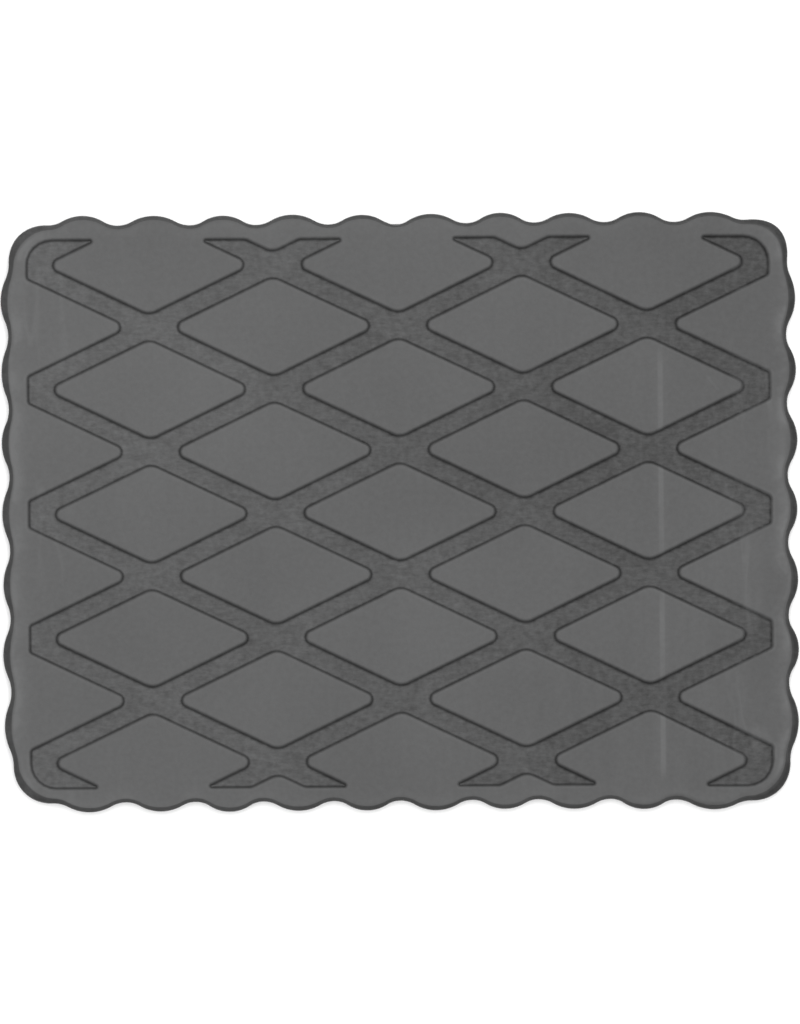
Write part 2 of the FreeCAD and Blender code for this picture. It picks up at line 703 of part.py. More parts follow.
def foil_with_hole():
    """The earthed foil, cut away round the junction box and holed for the rivet."""
    clearance = "Sizes.foil_notch_clearance"
    foil = heater_sheet(
        "foil_sheet",
        FOIL_BOTTOM,
        "Sizes.foil_thickness",
        f"({BOX_SIDE} + {clearance})",
        f"({SHEET_Y} - {BOX_FRONT} + {clearance})",
    )
    hole = drill(
        "foil_hole",
        "Z",
        (EARTH_X, EARTH_Y, f"{FOIL_BOTTOM} - Sizes.foil_thickness"),
        "Sizes.rivet_radius",
        "3 * Sizes.foil_thickness",
    )
    return cut("spreader_foil", foil, [hole])


def holding_tapes():
    """Strips across the runs of cable, evenly spaced about the centre line."""
    usable = value_of(f"{CORE_X} - Sizes.run_margin - Sizes.tape_width")
    per_side = max(1, math.floor(usable / sheet.tape_spacing + 0.5))
    low = f"({LAST_RUN} - Sizes.tape_overhang)"
    high = f"({FIRST_RUN} + Sizes.tape_overhang)"
    tapes = []
    for number in range(2 * per_side):
        steps = number - per_side + 0.5
        tapes.append(
            block(
                f"holding_tape_{number + 1}",
                (f"{steps} * Sizes.tape_spacing - Sizes.tape_width / 2", low, TAPE_BOTTOM),
                ("Sizes.tape_width", f"{high} - {low}", "Sizes.tape_thickness"),
            )
        )
    return tapes


# ---------------------------------------------------------------- heating cable


def tangent_path(corners, radii):
    """Straight runs through corners that are rounded by tangent arcs."""
    edges = []
    start = corners[0]
    for before, corner, after, radius in zip(corners, corners[1:], corners[2:], radii):
        into, out = (corner - before).normalize(), (after - corner).normalize()
        half_turn = into.getAngle(out) / 2
        back = radius * math.tan(half_turn)
        begin, end = corner - into * back, corner + out * back
        bulge = radius / math.cos(half_turn) - radius
        middle = corner + (out - into).normalize() * bulge
        if (begin - start).Length > 1e-6:
            edges.append(Part.LineSegment(start, begin).toShape())
        edges.append(arc_through(begin, middle, end))
        start = end
    edges.append(Part.LineSegment(start, corners[-1]).toShape())
    return Part.Wire(edges)


def cable_path():
    """The whole run of heating cable, from the left joint to the right one, in one plane."""
    height = value_of(CABLE_Z)
    left = -value_of(f"{CORE_X} - Sizes.run_margin")
    far_right = -left
    right = far_right - sheet.return_spacing
    joints, joint_end = value_of(JOINT_Y), value_of(JOINT_OUTER)
    top, bottom = value_of(FIRST_RUN), value_of(LAST_RUN)
    gaps = round((top - bottom) / sheet.run_spacing)
    gaps += gaps % 2
    spacing = (top - bottom) / gaps
    lines = [joints] + [top - spacing * number for number in range(gaps + 1)]
    start = Vector(-joint_end, joints, height)
    corners, radii = [start], []
    for number, (line, following) in enumerate(zip(lines, lines[1:])):
        x = left if number % 2 == 0 else right
        corners += [Vector(x, line, height), Vector(x, following, height)]
        radii += [(line - following) / 2] * 2
    corners += [Vector(far_right, bottom, height), Vector(far_right, joints, height)]
    corners.append(Vector(joint_end, joints, height))
    radii += [sheet.return_spacing / 2] * 2
    return tangent_path(corners, radii)


def swept(name, path, outer, inner=None):
    """A round section carried along a path, checked against its length."""
    start = path.Vertexes[0].Point
    tangent = (path.Edges[0].Vertexes[-1].Point - start).normalize()
    section = Part.Wire([Part.makeCircle(outer, start, tangent)])
    area = math.pi * outer**2
    solid = path.makePipeShell([section], True, False)
    if inner:
        bore = Part.Wire([Part.makeCircle(inner, start, tangent)])
        solid = solid.cut(path.makePipeShell([bore], True, False))
        area -= math.pi * inner**2
    if abs(solid.Volume / (area * path.Length) - 1) > 0.01:
        raise ValueError(f"{name} lost volume along its path")
    return fixed_shape(name, solid)


def heating_cable():
    """Resistance core and jacket, with the core left bare into each joint."""
    path = cable_path()
    bare = []
    for sign in (-1, 1):
        joint = Vector(sign * value_of(JOINT_OUTER), value_of(JOINT_Y), value_of(CABLE_Z))
        inwards = Vector(-sign, 0, 0)
        bare.append(
            Part.makeCylinder(sheet.heat_core_radius, sheet.strip_length, joint, inwards)
        )
    core = swept("heating_core_run", path, sheet.heat_core_radius)
    jacket = swept("heating_jacket", path, sheet.heat_jacket_radius, sheet.heat_core_radius)
    ends = fixed_shape("heating_core_ends", Part.makeCompound(bare))
    print(f"heating cable {path.Length / 1000:.2f} m")
    return [joined("heating_core", [core, ends]), jacket]


# ---------------------------------------------------------------- leads, joints, cut-out


def hot_cold_joint(side, sign):
    """The crimp between the heating core and a cold lead, and the sleeve over it."""
    inner_end, outer_end = f"{sign} * {JOINT_INNER}", f"{sign} * {JOINT_OUTER}"
    inwards = "-1" if sign == "1" else "1"
    strip, overlap = "Sizes.strip_length", "Sizes.sleeve_overlap"
    crimp = rod(
        f"{side}_joint_blank",
        (inner_end, JOINT_Y, CABLE_Z),
        "Sizes.joint_radius",
        "Sizes.joint_length",
        back=sign == "-1",
    )
    hot, cold = "Sizes.heat_core_radius", "Sizes.lead_core_radius"
    sockets = [
        stub(f"{side}_hot_socket", outer_end, inwards, JOINT_Y, hot, strip),
        stub(f"{side}_cold_socket", inner_end, sign, JOINT_Y, cold, strip),
    ]
    sleeve = rod(
        f"{side}_joint_sleeve",
        (f"{sign} * ({JOINT_INNER} - {overlap})", JOINT_Y, CABLE_Z),
        f"{CABLE_RADIUS} + Sizes.joint_sleeve_wall",
        f"Sizes.joint_length + 2 * {overlap}",
        inner=CABLE_RADIUS,
        back=sign == "-1",
    )
    return [cut(f"{side}_hot_cold_crimp", crimp, sockets), sleeve]


def cold_lead(name, line, start, end, bare_start, bare_end):
    """A straight insulated lead along X with its conductor bare at both ends."""
    conductor = rod(
        f"{name}_conductor",
        (f"({start}) - {bare_start}", line, CABLE_Z),
        "Sizes.lead_core_radius",
        f"({end}) - ({start}) + {bare_start} + {bare_end}",
    )
    jacket = rod(
        f"{name}_jacket",
        (start, line, CABLE_Z),
        "Sizes.lead_jacket_radius",
        f"({end}) - ({start})",
        inner="Sizes.lead_core_radius",
    )
    return [conductor, jacket]


def cord_crimp(name, line, closed_end, towards):
    """A crimp whose open end waits for a core of the cord, and its shrink sleeve."""
    length, overlap, strip = "Sizes.crimp_length", "Sizes.crimp_sleeve_overlap", "Sizes.strip_length"
    lead, core = "Sizes.lead_core_radius", "Sizes.crimp_bore_radius"
    back = "-1" if towards == "1" else "1"
    blank = stub(f"{name}_blank", closed_end, towards, line, "Sizes.crimp_radius", length)
    open_end = f"{closed_end} + {towards} * {length}"
    sockets = [
        stub(f"{name}_lead_socket", closed_end, towards, line, lead, strip),
        stub(f"{name}_core_socket", open_end, back, line, core, strip),
    ]
    sleeve = rod(
        f"{name}_sleeve",
        (f"{closed_end} + {back} * {overlap}", line, CABLE_Z),
        "Sizes.crimp_radius + Sizes.crimp_sleeve_wall",
        f"{length} + {overlap}",
        inner="Sizes.crimp_radius",
        back=towards == "-1",
    )
    return [cut(f"{name}_crimp", blank, sockets), sleeve]


def thermal_cutout():
    """An axial cut-out with sealed noses, the sleeve that insulates it and its link."""
    body = new_body("cutout_body")
    sketch = new_sketch(body, "cutout_profile")
    length, nose, strip = "Sizes.cutout_length", "Sizes.cutout_nose", "Sizes.strip_length"
    bound_polygon(
        sketch,
        [
            ("0", "0"),
            ("0", "Sizes.cutout_radius / 2"),
            (nose, "Sizes.cutout_radius"),
            (f"{length} - {nose}", "Sizes.cutout_radius"),
            (length, "Sizes.cutout_radius / 2"),
            (length, "0"),
        ],
    )
    turn = body.newObject("PartDesign::Revolution", "cutout_turn")
    turn.Profile = sketch
    turn.ReferenceAxis = (sketch, ["H_Axis"])
    turn.Angle = 360
    for letter, expression in zip("xyz", (CUTOUT_LEFT, JOINT_Y, CABLE_Z)):
        body.setExpression(f"Placement.Base.{letter}", expression)
    right = f"({CUTOUT_LEFT} + {length})"
    lead = "Sizes.lead_core_radius"
    sockets = [
        stub("cutout_left_socket", CUTOUT_LEFT, "1", JOINT_Y, lead, nose),
        stub("cutout_right_socket", right, "-1", JOINT_Y, lead, nose),
    ]
    sleeve = rod(
        "cutout_sleeve",
        (f"{CUTOUT_LEFT} - {nose}", JOINT_Y, CABLE_Z),
        "Sizes.cutout_radius + Sizes.cutout_sleeve_wall",
        f"{length} + 2 * {nose}",
        inner="Sizes.cutout_radius",
    )
    link = rod(
        "cutout_link",
        (f"{right} - {nose}", JOINT_Y, CABLE_Z),
        lead,
        f"{nose} + Sizes.cutout_gap + {strip}",
    )
    return [cut("thermal_cutout", body, sockets), sleeve, link]


def wiring():
    """Joints, leads, crimps and the cut-out, along two lines through the box."""
    strip, nose, overlap = "Sizes.strip_length", "Sizes.cutout_nose", "Sizes.crimp_sleeve_overlap"
    pieces = hot_cold_joint("live", "-1") + hot_cold_joint("neutral", "1")
    pieces += cold_lead(
        "live_lead", JOINT_Y, f"-{JOINT_INNER}", f"{CUTOUT_LEFT} - {nose}", strip, f"2 * {nose}"
    )
    jacket_start, bare = f"{NEUTRAL_CLOSED} + {overlap}", f"({strip} + {overlap})"
    pieces += cold_lead("neutral_lead", JOINT_Y, jacket_start, JOINT_INNER, bare, strip)
    barrel_end = f"{EARTH_X} - Sizes.ring_radius - Sizes.barrel_length"
    pieces += cold_lead("earth_lead", EARTH_Y, jacket_start, barrel_end, bare, strip)
    pieces += thermal_cutout()
    pieces += cord_crimp("live_cord", JOINT_Y, LIVE_CLOSED, "1")
    pieces += cord_crimp("neutral_cord", JOINT_Y, NEUTRAL_CLOSED, "-1")
    pieces += cord_crimp("earth_cord", EARTH_Y, NEUTRAL_CLOSED, "-1")
    return pieces


# ---------------------------------------------------------------- earth connection


def earth_ring():
    """Ring terminal: a flat ring under the foil and a barrel for the lead."""
    ring_top = f"({FOIL_BOTTOM} - Sizes.layer_gap)"
    ring_bottom = f"({ring_top} - Sizes.ring_thickness)"
    edge = f"({EARTH_X} - Sizes.ring_radius)"
    ring = drill(
        "ring_disc",
        "Z",
        (EARTH_X, EARTH_Y, ring_bottom),
        "Sizes.ring_radius",
        "Sizes.ring_thickness",
    )
    barrel = rod(
        "ring_barrel", (edge, EARTH_Y, CABLE_Z), "Sizes.barrel_radius", "Sizes.barrel_length",
        back=True,
    )
    neck = block(
        "ring_neck",
        (f"{edge} - Sizes.ring_thickness", f"{EARTH_Y} - Sizes.barrel_radius", ring_bottom),
        ("Sizes.ring_radius", "2 * Sizes.barrel_radius", "Sizes.ring_thickness"),
    )
    tools = [
        drill(
            "ring_hole",
            "Z",
            (EARTH_X, EARTH_Y, f"{ring_bottom} - Sizes.ring_thickness"),
            "Sizes.rivet_radius",
            "3 * Sizes.ring_thickness",
        ),
        drill(
            "barrel_socket",
            "X",
            (f"{edge} - Sizes.barrel_length", EARTH_Y, CABLE_Z),
            "Sizes.lead_core_radius",
            "Sizes.strip_length",
        ),
    ]
    return cut("earth_ring_terminal", joined("ring_blank", [ring, barrel, neck]), tools)


def earth_rivet():
    """Hollow rivet: head above the foil, rolled end below the ring."""
    head_foot = f"({PARTING})"
    ring_bottom = f"({FOIL_BOTTOM} - Sizes.layer_gap - Sizes.ring_thickness)"
    grip = f"({head_foot} - {ring_bottom})"
    height = "Sizes.rivet_head_height"
    return turned(
        "earth_rivet",
        [
            ("0", height),
            ("Sizes.rivet_head_radius", height),
            ("Sizes.rivet_head_radius", "0"),
            ("Sizes.rivet_radius", "0"),
            ("Sizes.rivet_radius", f"-{grip}"),
            ("Sizes.rivet_head_radius", f"-{grip}"),
            ("Sizes.rivet_head_radius", f"-{grip} - {height}"),
            ("Sizes.rivet_bore_radius", f"-{grip} - {height}"),
            ("Sizes.rivet_bore_radius", "-Sizes.rivet_radius / 2"),
            ("0", "-Sizes.rivet_radius / 2"),
        ],
        (EARTH_X, EARTH_Y, head_foot),
    )


# ---------------------------------------------------------------- junction box


def box_corners(inset):
    """The box's plan outline, drawn in by an inset."""
    low_x, high_x = f"(-{BOX_SIDE} + {inset})", f"({BOX_SIDE} - {inset})"
    low_y, high_y = f"({BOX_FRONT} + {inset})", f"({BOX_REAR} - {inset})"
    return [(low_x, low_y), (high_x, low_y), (high_x, high_y), (low_x, high_y)]


def screw_places():
    """The four screw axes."""
    return [(f"{sign}{SCREW_X}", y) for sign in ("-", "") for y in (SCREW_NEAR, SCREW_FAR)]


def box_ring(name, bottom, height, opening_top, opening_depth):
    """A rounded block with an opening and, all the way down it, four screw bosses."""
    body = new_body(name)
    outside = new_sketch(body, f"{name}_outside", height=bottom)
    bound_polygon(outside, box_corners("0"))
    solid = pad(body, outside, height)
    round_uprights(body, solid, "Sizes.box_corner_radius", lambda point: True)
    opening = new_sketch(body, f"{name}_opening", height=opening_top)
    bound_polygon(opening, box_corners("Sizes.box_wall"))
    pocket(body, opening, opening_depth)
    bosses = new_sketch(body, f"{name}_bosses", height=f"{opening_top} - ({opening_depth})")
    for place in screw_places():
        bound_circle(bosses, place, "Sizes.boss_radius")
    pad(body, bosses, opening_depth)
    return body


def screw_holes(name, top, radius, depth):
    """Four upright holes from a height down."""
    return [
        drill(f"{name}_{number}", "Z", (x, y, f"{top} - ({depth})"), radius, depth)
        for number, (x, y) in enumerate(screw_places(), start=1)
    ]


def junction_box(neck):
    """Base, gasket and lid, each notched for the neck of the gland."""
    wall, gasket = "Sizes.box_wall", "Sizes.gasket_thickness"
    half = f"({SPLIT_LOW} - {BOX_BOTTOM})"
    room = f"({half} - {wall})"
    base = box_ring("base_block", BOX_BOTTOM, half, SPLIT_LOW, room)
    lid = box_ring("lid_block", SPLIT_HIGH, half, f"{SPLIT_HIGH} + {room}", room)
    seal = box_ring("gasket_block", SPLIT_LOW, gasket, SPLIT_HIGH, gasket)
    lead_lines = (("-1", JOINT_Y), ("1", JOINT_Y), ("1", EARTH_Y))
    hole = "Sizes.lead_jacket_radius + Sizes.lead_hole_clearance"
    lead_holes = [
        stub(f"lead_hole_{number}", f"{side} * ({BOX_SIDE} - {wall})", side, line, hole, wall)
        for number, (side, line) in enumerate(lead_lines, start=1)
    ]
    clearance = "Sizes.screw_radius + Sizes.screw_clearance"
    head = "Sizes.screw_head_radius + Sizes.screw_head_clearance"
    grip = f"({SPLIT_LOW} - {BOX_INSIDE} - Sizes.screw_tip_room)"
    pilots = screw_holes("pilot_hole", SPLIT_LOW, "Sizes.screw_radius", grip)
    lid_holes = screw_holes("lid_hole", BOX_TOP, clearance, half)
    head_rooms = screw_holes("head_room", BOX_TOP, head, "Sizes.screw_head_height")
    seal_holes = screw_holes("seal_hole", SPLIT_HIGH, clearance, gasket)
    return [
        cut("junction_base", base, [neck] + lead_holes + pilots),
        cut("junction_lid", lid, [neck] + lid_holes + head_rooms),
        cut("junction_gasket", seal, [neck] + seal_holes),
    ]


def lid_screws():
    """Four slotted screws, flush with the lid."""
    head, height, shank = "Sizes.screw_head_radius", "Sizes.screw_head_height", "Sizes.screw_radius"
    reach = f"({BOX_TOP} - {BOX_INSIDE} - Sizes.screw_tip_room)"
    screws = []
    for number, (x, y) in enumerate(screw_places(), start=1):
        profile = [
            ("0", "0"),
            (head, "0"),
            (head, f"-{height}"),
            (shank, f"-{height}"),
            (shank, f"-{reach} + {shank}"),
            ("0", f"-{reach}"),
        ]
        blank = turned(f"screw_blank_{number}", profile, (x, y, BOX_TOP))
        slot = block(
            f"screw_slot_{number}",
            (f"{x} - {head}", f"{y} - Sizes.drive_width / 2", f"{BOX_TOP} - Sizes.drive_depth"),
            (f"2 * {head}", "Sizes.drive_width", "2 * Sizes.drive_depth"),
        )
        screws.append(cut(f"screw_{number}", blank, [slot]))
    group = doc.addObject("Part::Compound", "lid_screws")
    group.Links = screws
    return group


def gland_and_box():
    """The moulded cord gland, held by its collar in the rear wall of the box."""
    bore_radius = "Sizes.gland_bore_radius"
    wall_inside = f"({BOX_REAR} - Sizes.box_wall)"
    collar_start = f"({wall_inside} - Sizes.collar_thickness)"
    mouth = f"({VALLEY_Y} - Sizes.gland_setback)"
    body = obround(
        "gland_body",
        "Sizes.gland_flat",
        f"({bore_radius} + Sizes.gland_wall)",
        BOX_REAR,
        f"{mouth} - {BOX_REAR}",
    )
    neck = obround(
        "gland_neck",
        "Sizes.neck_flat",
        f"({bore_radius} + Sizes.neck_wall)",
        wall_inside,
        "Sizes.box_wall",
    )
    collar = obround(
        "gland_collar",
        "Sizes.collar_flat",
        f"({PARTING} - {BOX_INSIDE} - Sizes.collar_clearance)",
        collar_start,
        "Sizes.collar_thickness",
    )
    bore = drill(
        "gland_bore", "Y", ("0", collar_start, PARTING), bore_radius, f"{mouth} - {collar_start}"
    )
    gland = cut("cord_gland", joined("gland_blank", [body, neck, collar]), [bore])
    return [gland] + junction_box(neck)


# ---------------------------------------------------------------- build and write


def check(feature):
    """Stops the build if a piece failed or isn't whole."""
    shape = feature.Shape
    if shape.isNull() or not shape.isValid() or not shape.Solids:
        raise RuntimeError(f"{feature.Label} has no valid shape")
    if shape.Volume <= 0:
        raise RuntimeError(f"{feature.Label} has no volume")


def main():
    """Builds every piece, checks it and writes it to parts/."""
    pieces = rubber_covers()
    felt = heater_sheet("insulation_felt", CORE_FLOOR, "Sizes.felt_thickness", BAY_X, BAY_REACH)
    pieces.append(felt)
    pieces.append(carrier_scrim())
    pieces += heating_cable()
    pieces += holding_tapes()
    pieces.append(foil_with_hole())
    pieces += wiring()
    pieces += [earth_ring(), earth_rivet()]
    pieces += gland_and_box()
    pieces.append(lid_screws())
    doc.recompute()
    for feature in doc.Objects:
        if {"Invalid", "Error"} & set(feature.State):
            raise RuntimeError(f"{feature.Label} failed: {feature.State}")
    os.makedirs("parts", exist_ok=True)
    for piece in pieces:
        check(piece)
        piece.Shape.exportStep(os.path.join("parts", f"{piece.Label}.step"))
    print(f"{len(pieces)} pieces written")


main()
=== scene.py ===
"""Looks of a seedling heat mat: moulded rubber covers, a cord gland and the heater between them.

The covers and the gland are meshes worked out here, in the places that the frame gives. Every
other piece is the frame's own, with a finish of its own. Meshes are worked out in millimetres
and turned into metres when they are made. Shaders read metres.
"""

from __future__ import annotations

import logging
import math
from dataclasses import dataclass, field
from enum import Enum
from typing import Callable, Sequence

import bmesh
import bpy
import numpy as np
from mathutils.geometry import delaunay_2d_cdt
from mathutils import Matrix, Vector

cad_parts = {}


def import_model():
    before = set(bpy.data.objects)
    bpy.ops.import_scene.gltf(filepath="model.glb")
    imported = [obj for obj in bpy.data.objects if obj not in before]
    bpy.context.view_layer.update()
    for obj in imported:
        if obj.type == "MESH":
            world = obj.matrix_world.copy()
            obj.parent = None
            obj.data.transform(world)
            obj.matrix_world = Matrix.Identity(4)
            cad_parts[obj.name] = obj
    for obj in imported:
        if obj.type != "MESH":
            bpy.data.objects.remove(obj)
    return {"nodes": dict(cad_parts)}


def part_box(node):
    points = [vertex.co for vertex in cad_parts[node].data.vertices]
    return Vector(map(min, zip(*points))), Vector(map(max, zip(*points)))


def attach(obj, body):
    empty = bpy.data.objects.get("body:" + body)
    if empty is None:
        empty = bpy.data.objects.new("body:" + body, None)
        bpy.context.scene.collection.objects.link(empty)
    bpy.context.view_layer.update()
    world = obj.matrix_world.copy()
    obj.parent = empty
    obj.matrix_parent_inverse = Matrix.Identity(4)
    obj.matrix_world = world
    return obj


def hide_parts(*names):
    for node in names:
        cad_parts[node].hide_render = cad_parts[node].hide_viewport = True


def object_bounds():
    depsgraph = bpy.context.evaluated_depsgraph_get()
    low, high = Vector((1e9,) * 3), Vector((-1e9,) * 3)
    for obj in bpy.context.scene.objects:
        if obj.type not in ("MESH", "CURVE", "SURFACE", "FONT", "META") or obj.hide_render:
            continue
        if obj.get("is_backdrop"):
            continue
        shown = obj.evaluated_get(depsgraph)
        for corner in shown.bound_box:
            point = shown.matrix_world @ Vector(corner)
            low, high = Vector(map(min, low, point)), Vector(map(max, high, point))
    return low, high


LOG = logging.getLogger("heat_mat")
MM = 0.001
TINY = 1e-4
UNDIVIDED = 1e6
SHARP_EDGE = math.radians(38)
Array = np.ndarray
Pair = tuple[float, float]
Triple = tuple[float, float, float]


# ---- outlines


def left_of(direction: Array) -> Array:
    """Directions turned a quarter turn to the left."""
    return np.stack([-direction[..., 1], direction[..., 0]], axis=-1)


def unit(vectors: Array) -> Array:
    """Vectors scaled to length one."""
    return vectors / np.linalg.norm(vectors, axis=-1, keepdims=True)


def tangent_arcs(before: Array, corner: Array, after: Array, radii: Array, steps: int) -> Array:
    """Arcs that round corners and meet both their sides smoothly.

    An arc starts r * tan(turn / 2) before its corner. Its points lie r to the side of a centre,
    square to a heading that turns evenly from the first side's direction to the second's.

    Args:
        before: The points before the corners, (n, 2).
        corner: The corners, (n, 2).
        after: The points after the corners, (n, 2).
        radii: The arcs' radii, (n,).
        steps: Straight steps in each arc.

    Returns:
        The arcs' points, (n, steps + 1, 2).
    """
    first, second = unit(corner - before), unit(after - corner)
    cross = first[:, 0] * second[:, 1] - first[:, 1] * second[:, 0]
    turn = np.arctan2(cross, np.sum(first * second, axis=1))
    side = np.sign(turn) * radii
    start = corner - first * (radii * np.tan(np.abs(turn) / 2))[:, None]
    centre = start + left_of(first) * side[:, None]
    angle = turn[:, None] * np.linspace(0, 1, steps + 1)
    cosine, sine = np.cos(angle)[..., None], np.sin(angle)[..., None]
    heading = first[:, None, :] * cosine + left_of(first)[:, None, :] * sine
    return centre[:, None, :] - left_of(heading) * side[:, None, None]


@dataclass
class RoundedLoop:
    """A closed outline of straight sides and round corners, anticlockwise, that can be offset.

    Attributes:
        corners: Its sharp corners, (n, 2).
        radii: Its corner radii, (n,).
        steps: Straight steps in each corner.
        spacing: The longest gap between points along a side.
        sharp: The smallest radius that an offset leaves.
    """

    corners: Array
    radii: Array
    steps: int = 6
    spacing: float = 8.0
    sharp: float = 0.25

    def offset(self, distance: float) -> Array:
        """The outline moved outwards, with the same number of points at every distance.

        Each side moves square to itself, a corner moves along its mitre, and a corner's radius
        grows where the outline bulges and shrinks where it is hollow.

        Args:
            distance: How far out, or in where it is negative.

        Returns:
            The points, (m, 2).
        """
        corners = self.corners
        into = unit(corners - np.roll(corners, 1, axis=0))
        out = np.roll(into, -1, axis=0)
        normal_in, normal_out = -left_of(into), -left_of(out)
        mitre = (normal_in + normal_out) / (1 + np.sum(normal_in * normal_out, axis=1))[:, None]
        moved = corners + mitre * distance
        bulge = np.sign(into[:, 0] * out[:, 1] - into[:, 1] * out[:, 0])
        radii = np.maximum(self.radii + bulge * distance, self.sharp)
        before, after = np.roll(moved, 1, axis=0), np.roll(moved, -1, axis=0)
        arcs = tangent_arcs(before, moved, after, radii, self.steps)
        lengths = np.linalg.norm(np.roll(corners, -1, axis=0) - corners, axis=1)
        extra = np.maximum(np.ceil(lengths / self.spacing).astype(int) - 1, 0)
        owner = np.repeat(np.arange(len(corners)), extra)
        number = np.arange(len(owner)) - np.repeat(np.cumsum(extra) - extra, extra)
        share = (number + 1) / (extra[owner] + 1)
        start, end = arcs[owner, -1], arcs[(owner + 1) % len(corners), 0]
        between = start + (end - start) * share[:, None]
        arc_keys = np.arange(len(corners))[:, None] + np.linspace(0, 0.5, self.steps + 1)
        keys = np.concatenate([arc_keys.ravel(), owner + 0.5 + 0.5 * share])
        return np.concatenate([arcs.reshape(-1, 2), between])[np.argsort(keys, kind="stable")]


def rounded_profile(points: Sequence[Pair], radii: Sequence[float], steps: int = 5) -> Array:
    """An open path through points, with its inner corners rounded by tangent arcs.

    Args:
        points: The path's sharp points, ends included.
        radii: A radius for each inner point.
        steps: Straight steps in each arc.

    Returns:
        The path's points, (m, 2).
    """
    path = np.array(points, float)
    arcs = tangent_arcs(path[:-2], path[1:-1], path[2:], np.array(radii, float), steps)
    return np.concatenate([path[:1], arcs.reshape(-1, 2), path[-1:]])


# ---- surfaces


def lift(loop: Array, height: float) -> Array:
    """A flat outline raised to a height."""
    return np.column_stack([loop, np.full(len(loop), height)])


def swept(outline: Callable[[float], Array], profile: Array) -> Array:
    """An outline at each (distance, height) of a profile, (rings, points, 3)."""
    return np.stack([lift(outline(distance), height) for distance, height in profile])


def inside_all(points: Array, loops: Sequence[Array]) -> Array:
    """Whether points lie in an odd number of loops, by counting the sides each one crosses.

    Args:
        points: The points, (n, 2).
        loops: Closed outlines, each (m, 2).

    Returns:
        True where a point lies inside, (n,).
    """
    odd = np.zeros(len(points), bool)
    x, y = points[:, :1], points[:, 1:]
    for loop in loops:
        near = np.flatnonzero(np.all((points > loop.min(0)) & (points < loop.max(0)), axis=1))
        start, end = loop, np.roll(loop, -1, axis=0)
        spans = (start[:, 1] > y[near]) != (end[:, 1] > y[near])
        rise = np.where(end[:, 1] == start[:, 1], 1, end[:, 1] - start[:, 1])
        reach = start[:, 0] + (end[:, 0] - start[:, 0]) * (y[near] - start[:, 1]) / rise
        odd[near] ^= np.sum(spans & (x[near] < reach), axis=1) % 2 == 1
    return odd


def fan(count: int) -> Array:
    """Triangles that fill a convex ring of points from its first one, (count - 2, 3)."""
    index = np.arange(1, count - 1)
    return np.column_stack([np.zeros_like(index), index, index + 1])


@dataclass
class MeshParts:
    """Vertices and faces of one piece, gathered patch by patch."""

    points: list[Array] = field(default_factory=list)
    quads: list[Array] = field(default_factory=list)
    triangles: list[Array] = field(default_factory=list)
    count: int = 0

    def add(self, points: Array, faces: Array) -> None:
        """Adds a patch of triangles or quads.

        Args:
            points: The patch's points, (n, 3).
            faces: Indices into them, (m, 3) or (m, 4).
        """
        home = self.quads if faces.shape[1] == 4 else self.triangles
        home.append(faces + self.count)
        self.points.append(points)
        self.count += len(points)

    def skin(self, rings: Array, closed: bool = False) -> None:
        """Adds the surface between closed rings, a grid that wraps round.

        Args:
            rings: The rings, (rings, points, 3).
            closed: Whether the last ring joins the first.
        """
        rows, columns = rings.shape[:2]
        row, column = np.meshgrid(np.arange(rows if closed else rows - 1), np.arange(columns),
                                  indexing="ij")
        down, along = (row + 1) % rows, (column + 1) % columns
        corners = [row * columns + column, row * columns + along, down * columns + along,
                   down * columns + column]
        self.add(rings.reshape(-1, 3), np.stack(corners, axis=-1).reshape(-1, 4))

    def flat(self, loops: Sequence[Array], height: float, spacing: float) -> None:
        """Adds a level face that fills the loops, with a staggered grid of points inside.

        Args:
            loops: Closed outlines, each (n, 2). One inside another is a hole or an island.
            height: The face's height.
            spacing: The gap between the points inside.
        """
        outline = np.concatenate(loops)
        low, high = outline.min(0), outline.max(0)
        step = np.array([spacing, spacing * math.sqrt(0.75)])
        columns, rows = np.maximum(np.ceil((high - low) / step).astype(int), 1)
        column, row = np.meshgrid(np.arange(columns), np.arange(rows))
        grid = low + step * np.stack([column + (row % 2) / 2, row + 0.5], axis=-1)
        grid = grid.reshape(-1, 2)
        grid = grid[inside_all(grid, loops)]
        sizes = np.array([len(loop) for loop in loops])
        starts = np.repeat(np.cumsum(sizes) - sizes, sizes)
        index = np.arange(len(outline))
        sides = np.stack([index, starts + (index - starts + 1) % np.repeat(sizes, sizes)], axis=1)
        cloud = np.concatenate([outline, grid])
        found = delaunay_2d_cdt(cloud.tolist(), sides.tolist(), [], 0, TINY, False)
        points, faces = np.array([tuple(p) for p in found[0]]), np.array(found[2])
        self.add(lift(points, height), faces[inside_all(points[faces].mean(axis=1), loops)])

    def mesh(self, name: str) -> bpy.types.Mesh:
        """The piece's mesh in metres, merged, closed and facing outwards.

        Args:
            name: The mesh's name.

        Returns:
            The mesh.
        """
        points = np.concatenate(self.points) * MM
        groups = [np.concatenate(group) for group in (self.quads, self.triangles) if group]
        sizes = np.concatenate([np.full(len(group), group.shape[1]) for group in groups])
        corners = np.concatenate([group.ravel() for group in groups])
        mesh = bpy.data.meshes.new(name)
        mesh.vertices.add(len(points))
        mesh.vertices.foreach_set("co", points.ravel())
        mesh.loops.add(len(corners))
        mesh.loops.foreach_set("vertex_index", corners)
        mesh.polygons.add(len(sizes))
        mesh.polygons.foreach_set("loop_start", np.cumsum(sizes) - sizes)
        mesh.update(calc_edges=True)
        mesh.validate()
        work = bmesh.new()
        work.from_mesh(mesh)
        bmesh.ops.remove_doubles(work, verts=work.verts, dist=2 * TINY * MM)
        bmesh.ops.dissolve_degenerate(work, edges=work.edges, dist=TINY * MM)
        loose = [vertex for vertex in work.verts if not vertex.link_faces]
        bmesh.ops.delete(work, geom=loose, context="VERTS")
        bmesh.ops.recalc_face_normals(work, faces=work.faces)
        work.to_mesh(mesh)
        work.free()
        return mesh


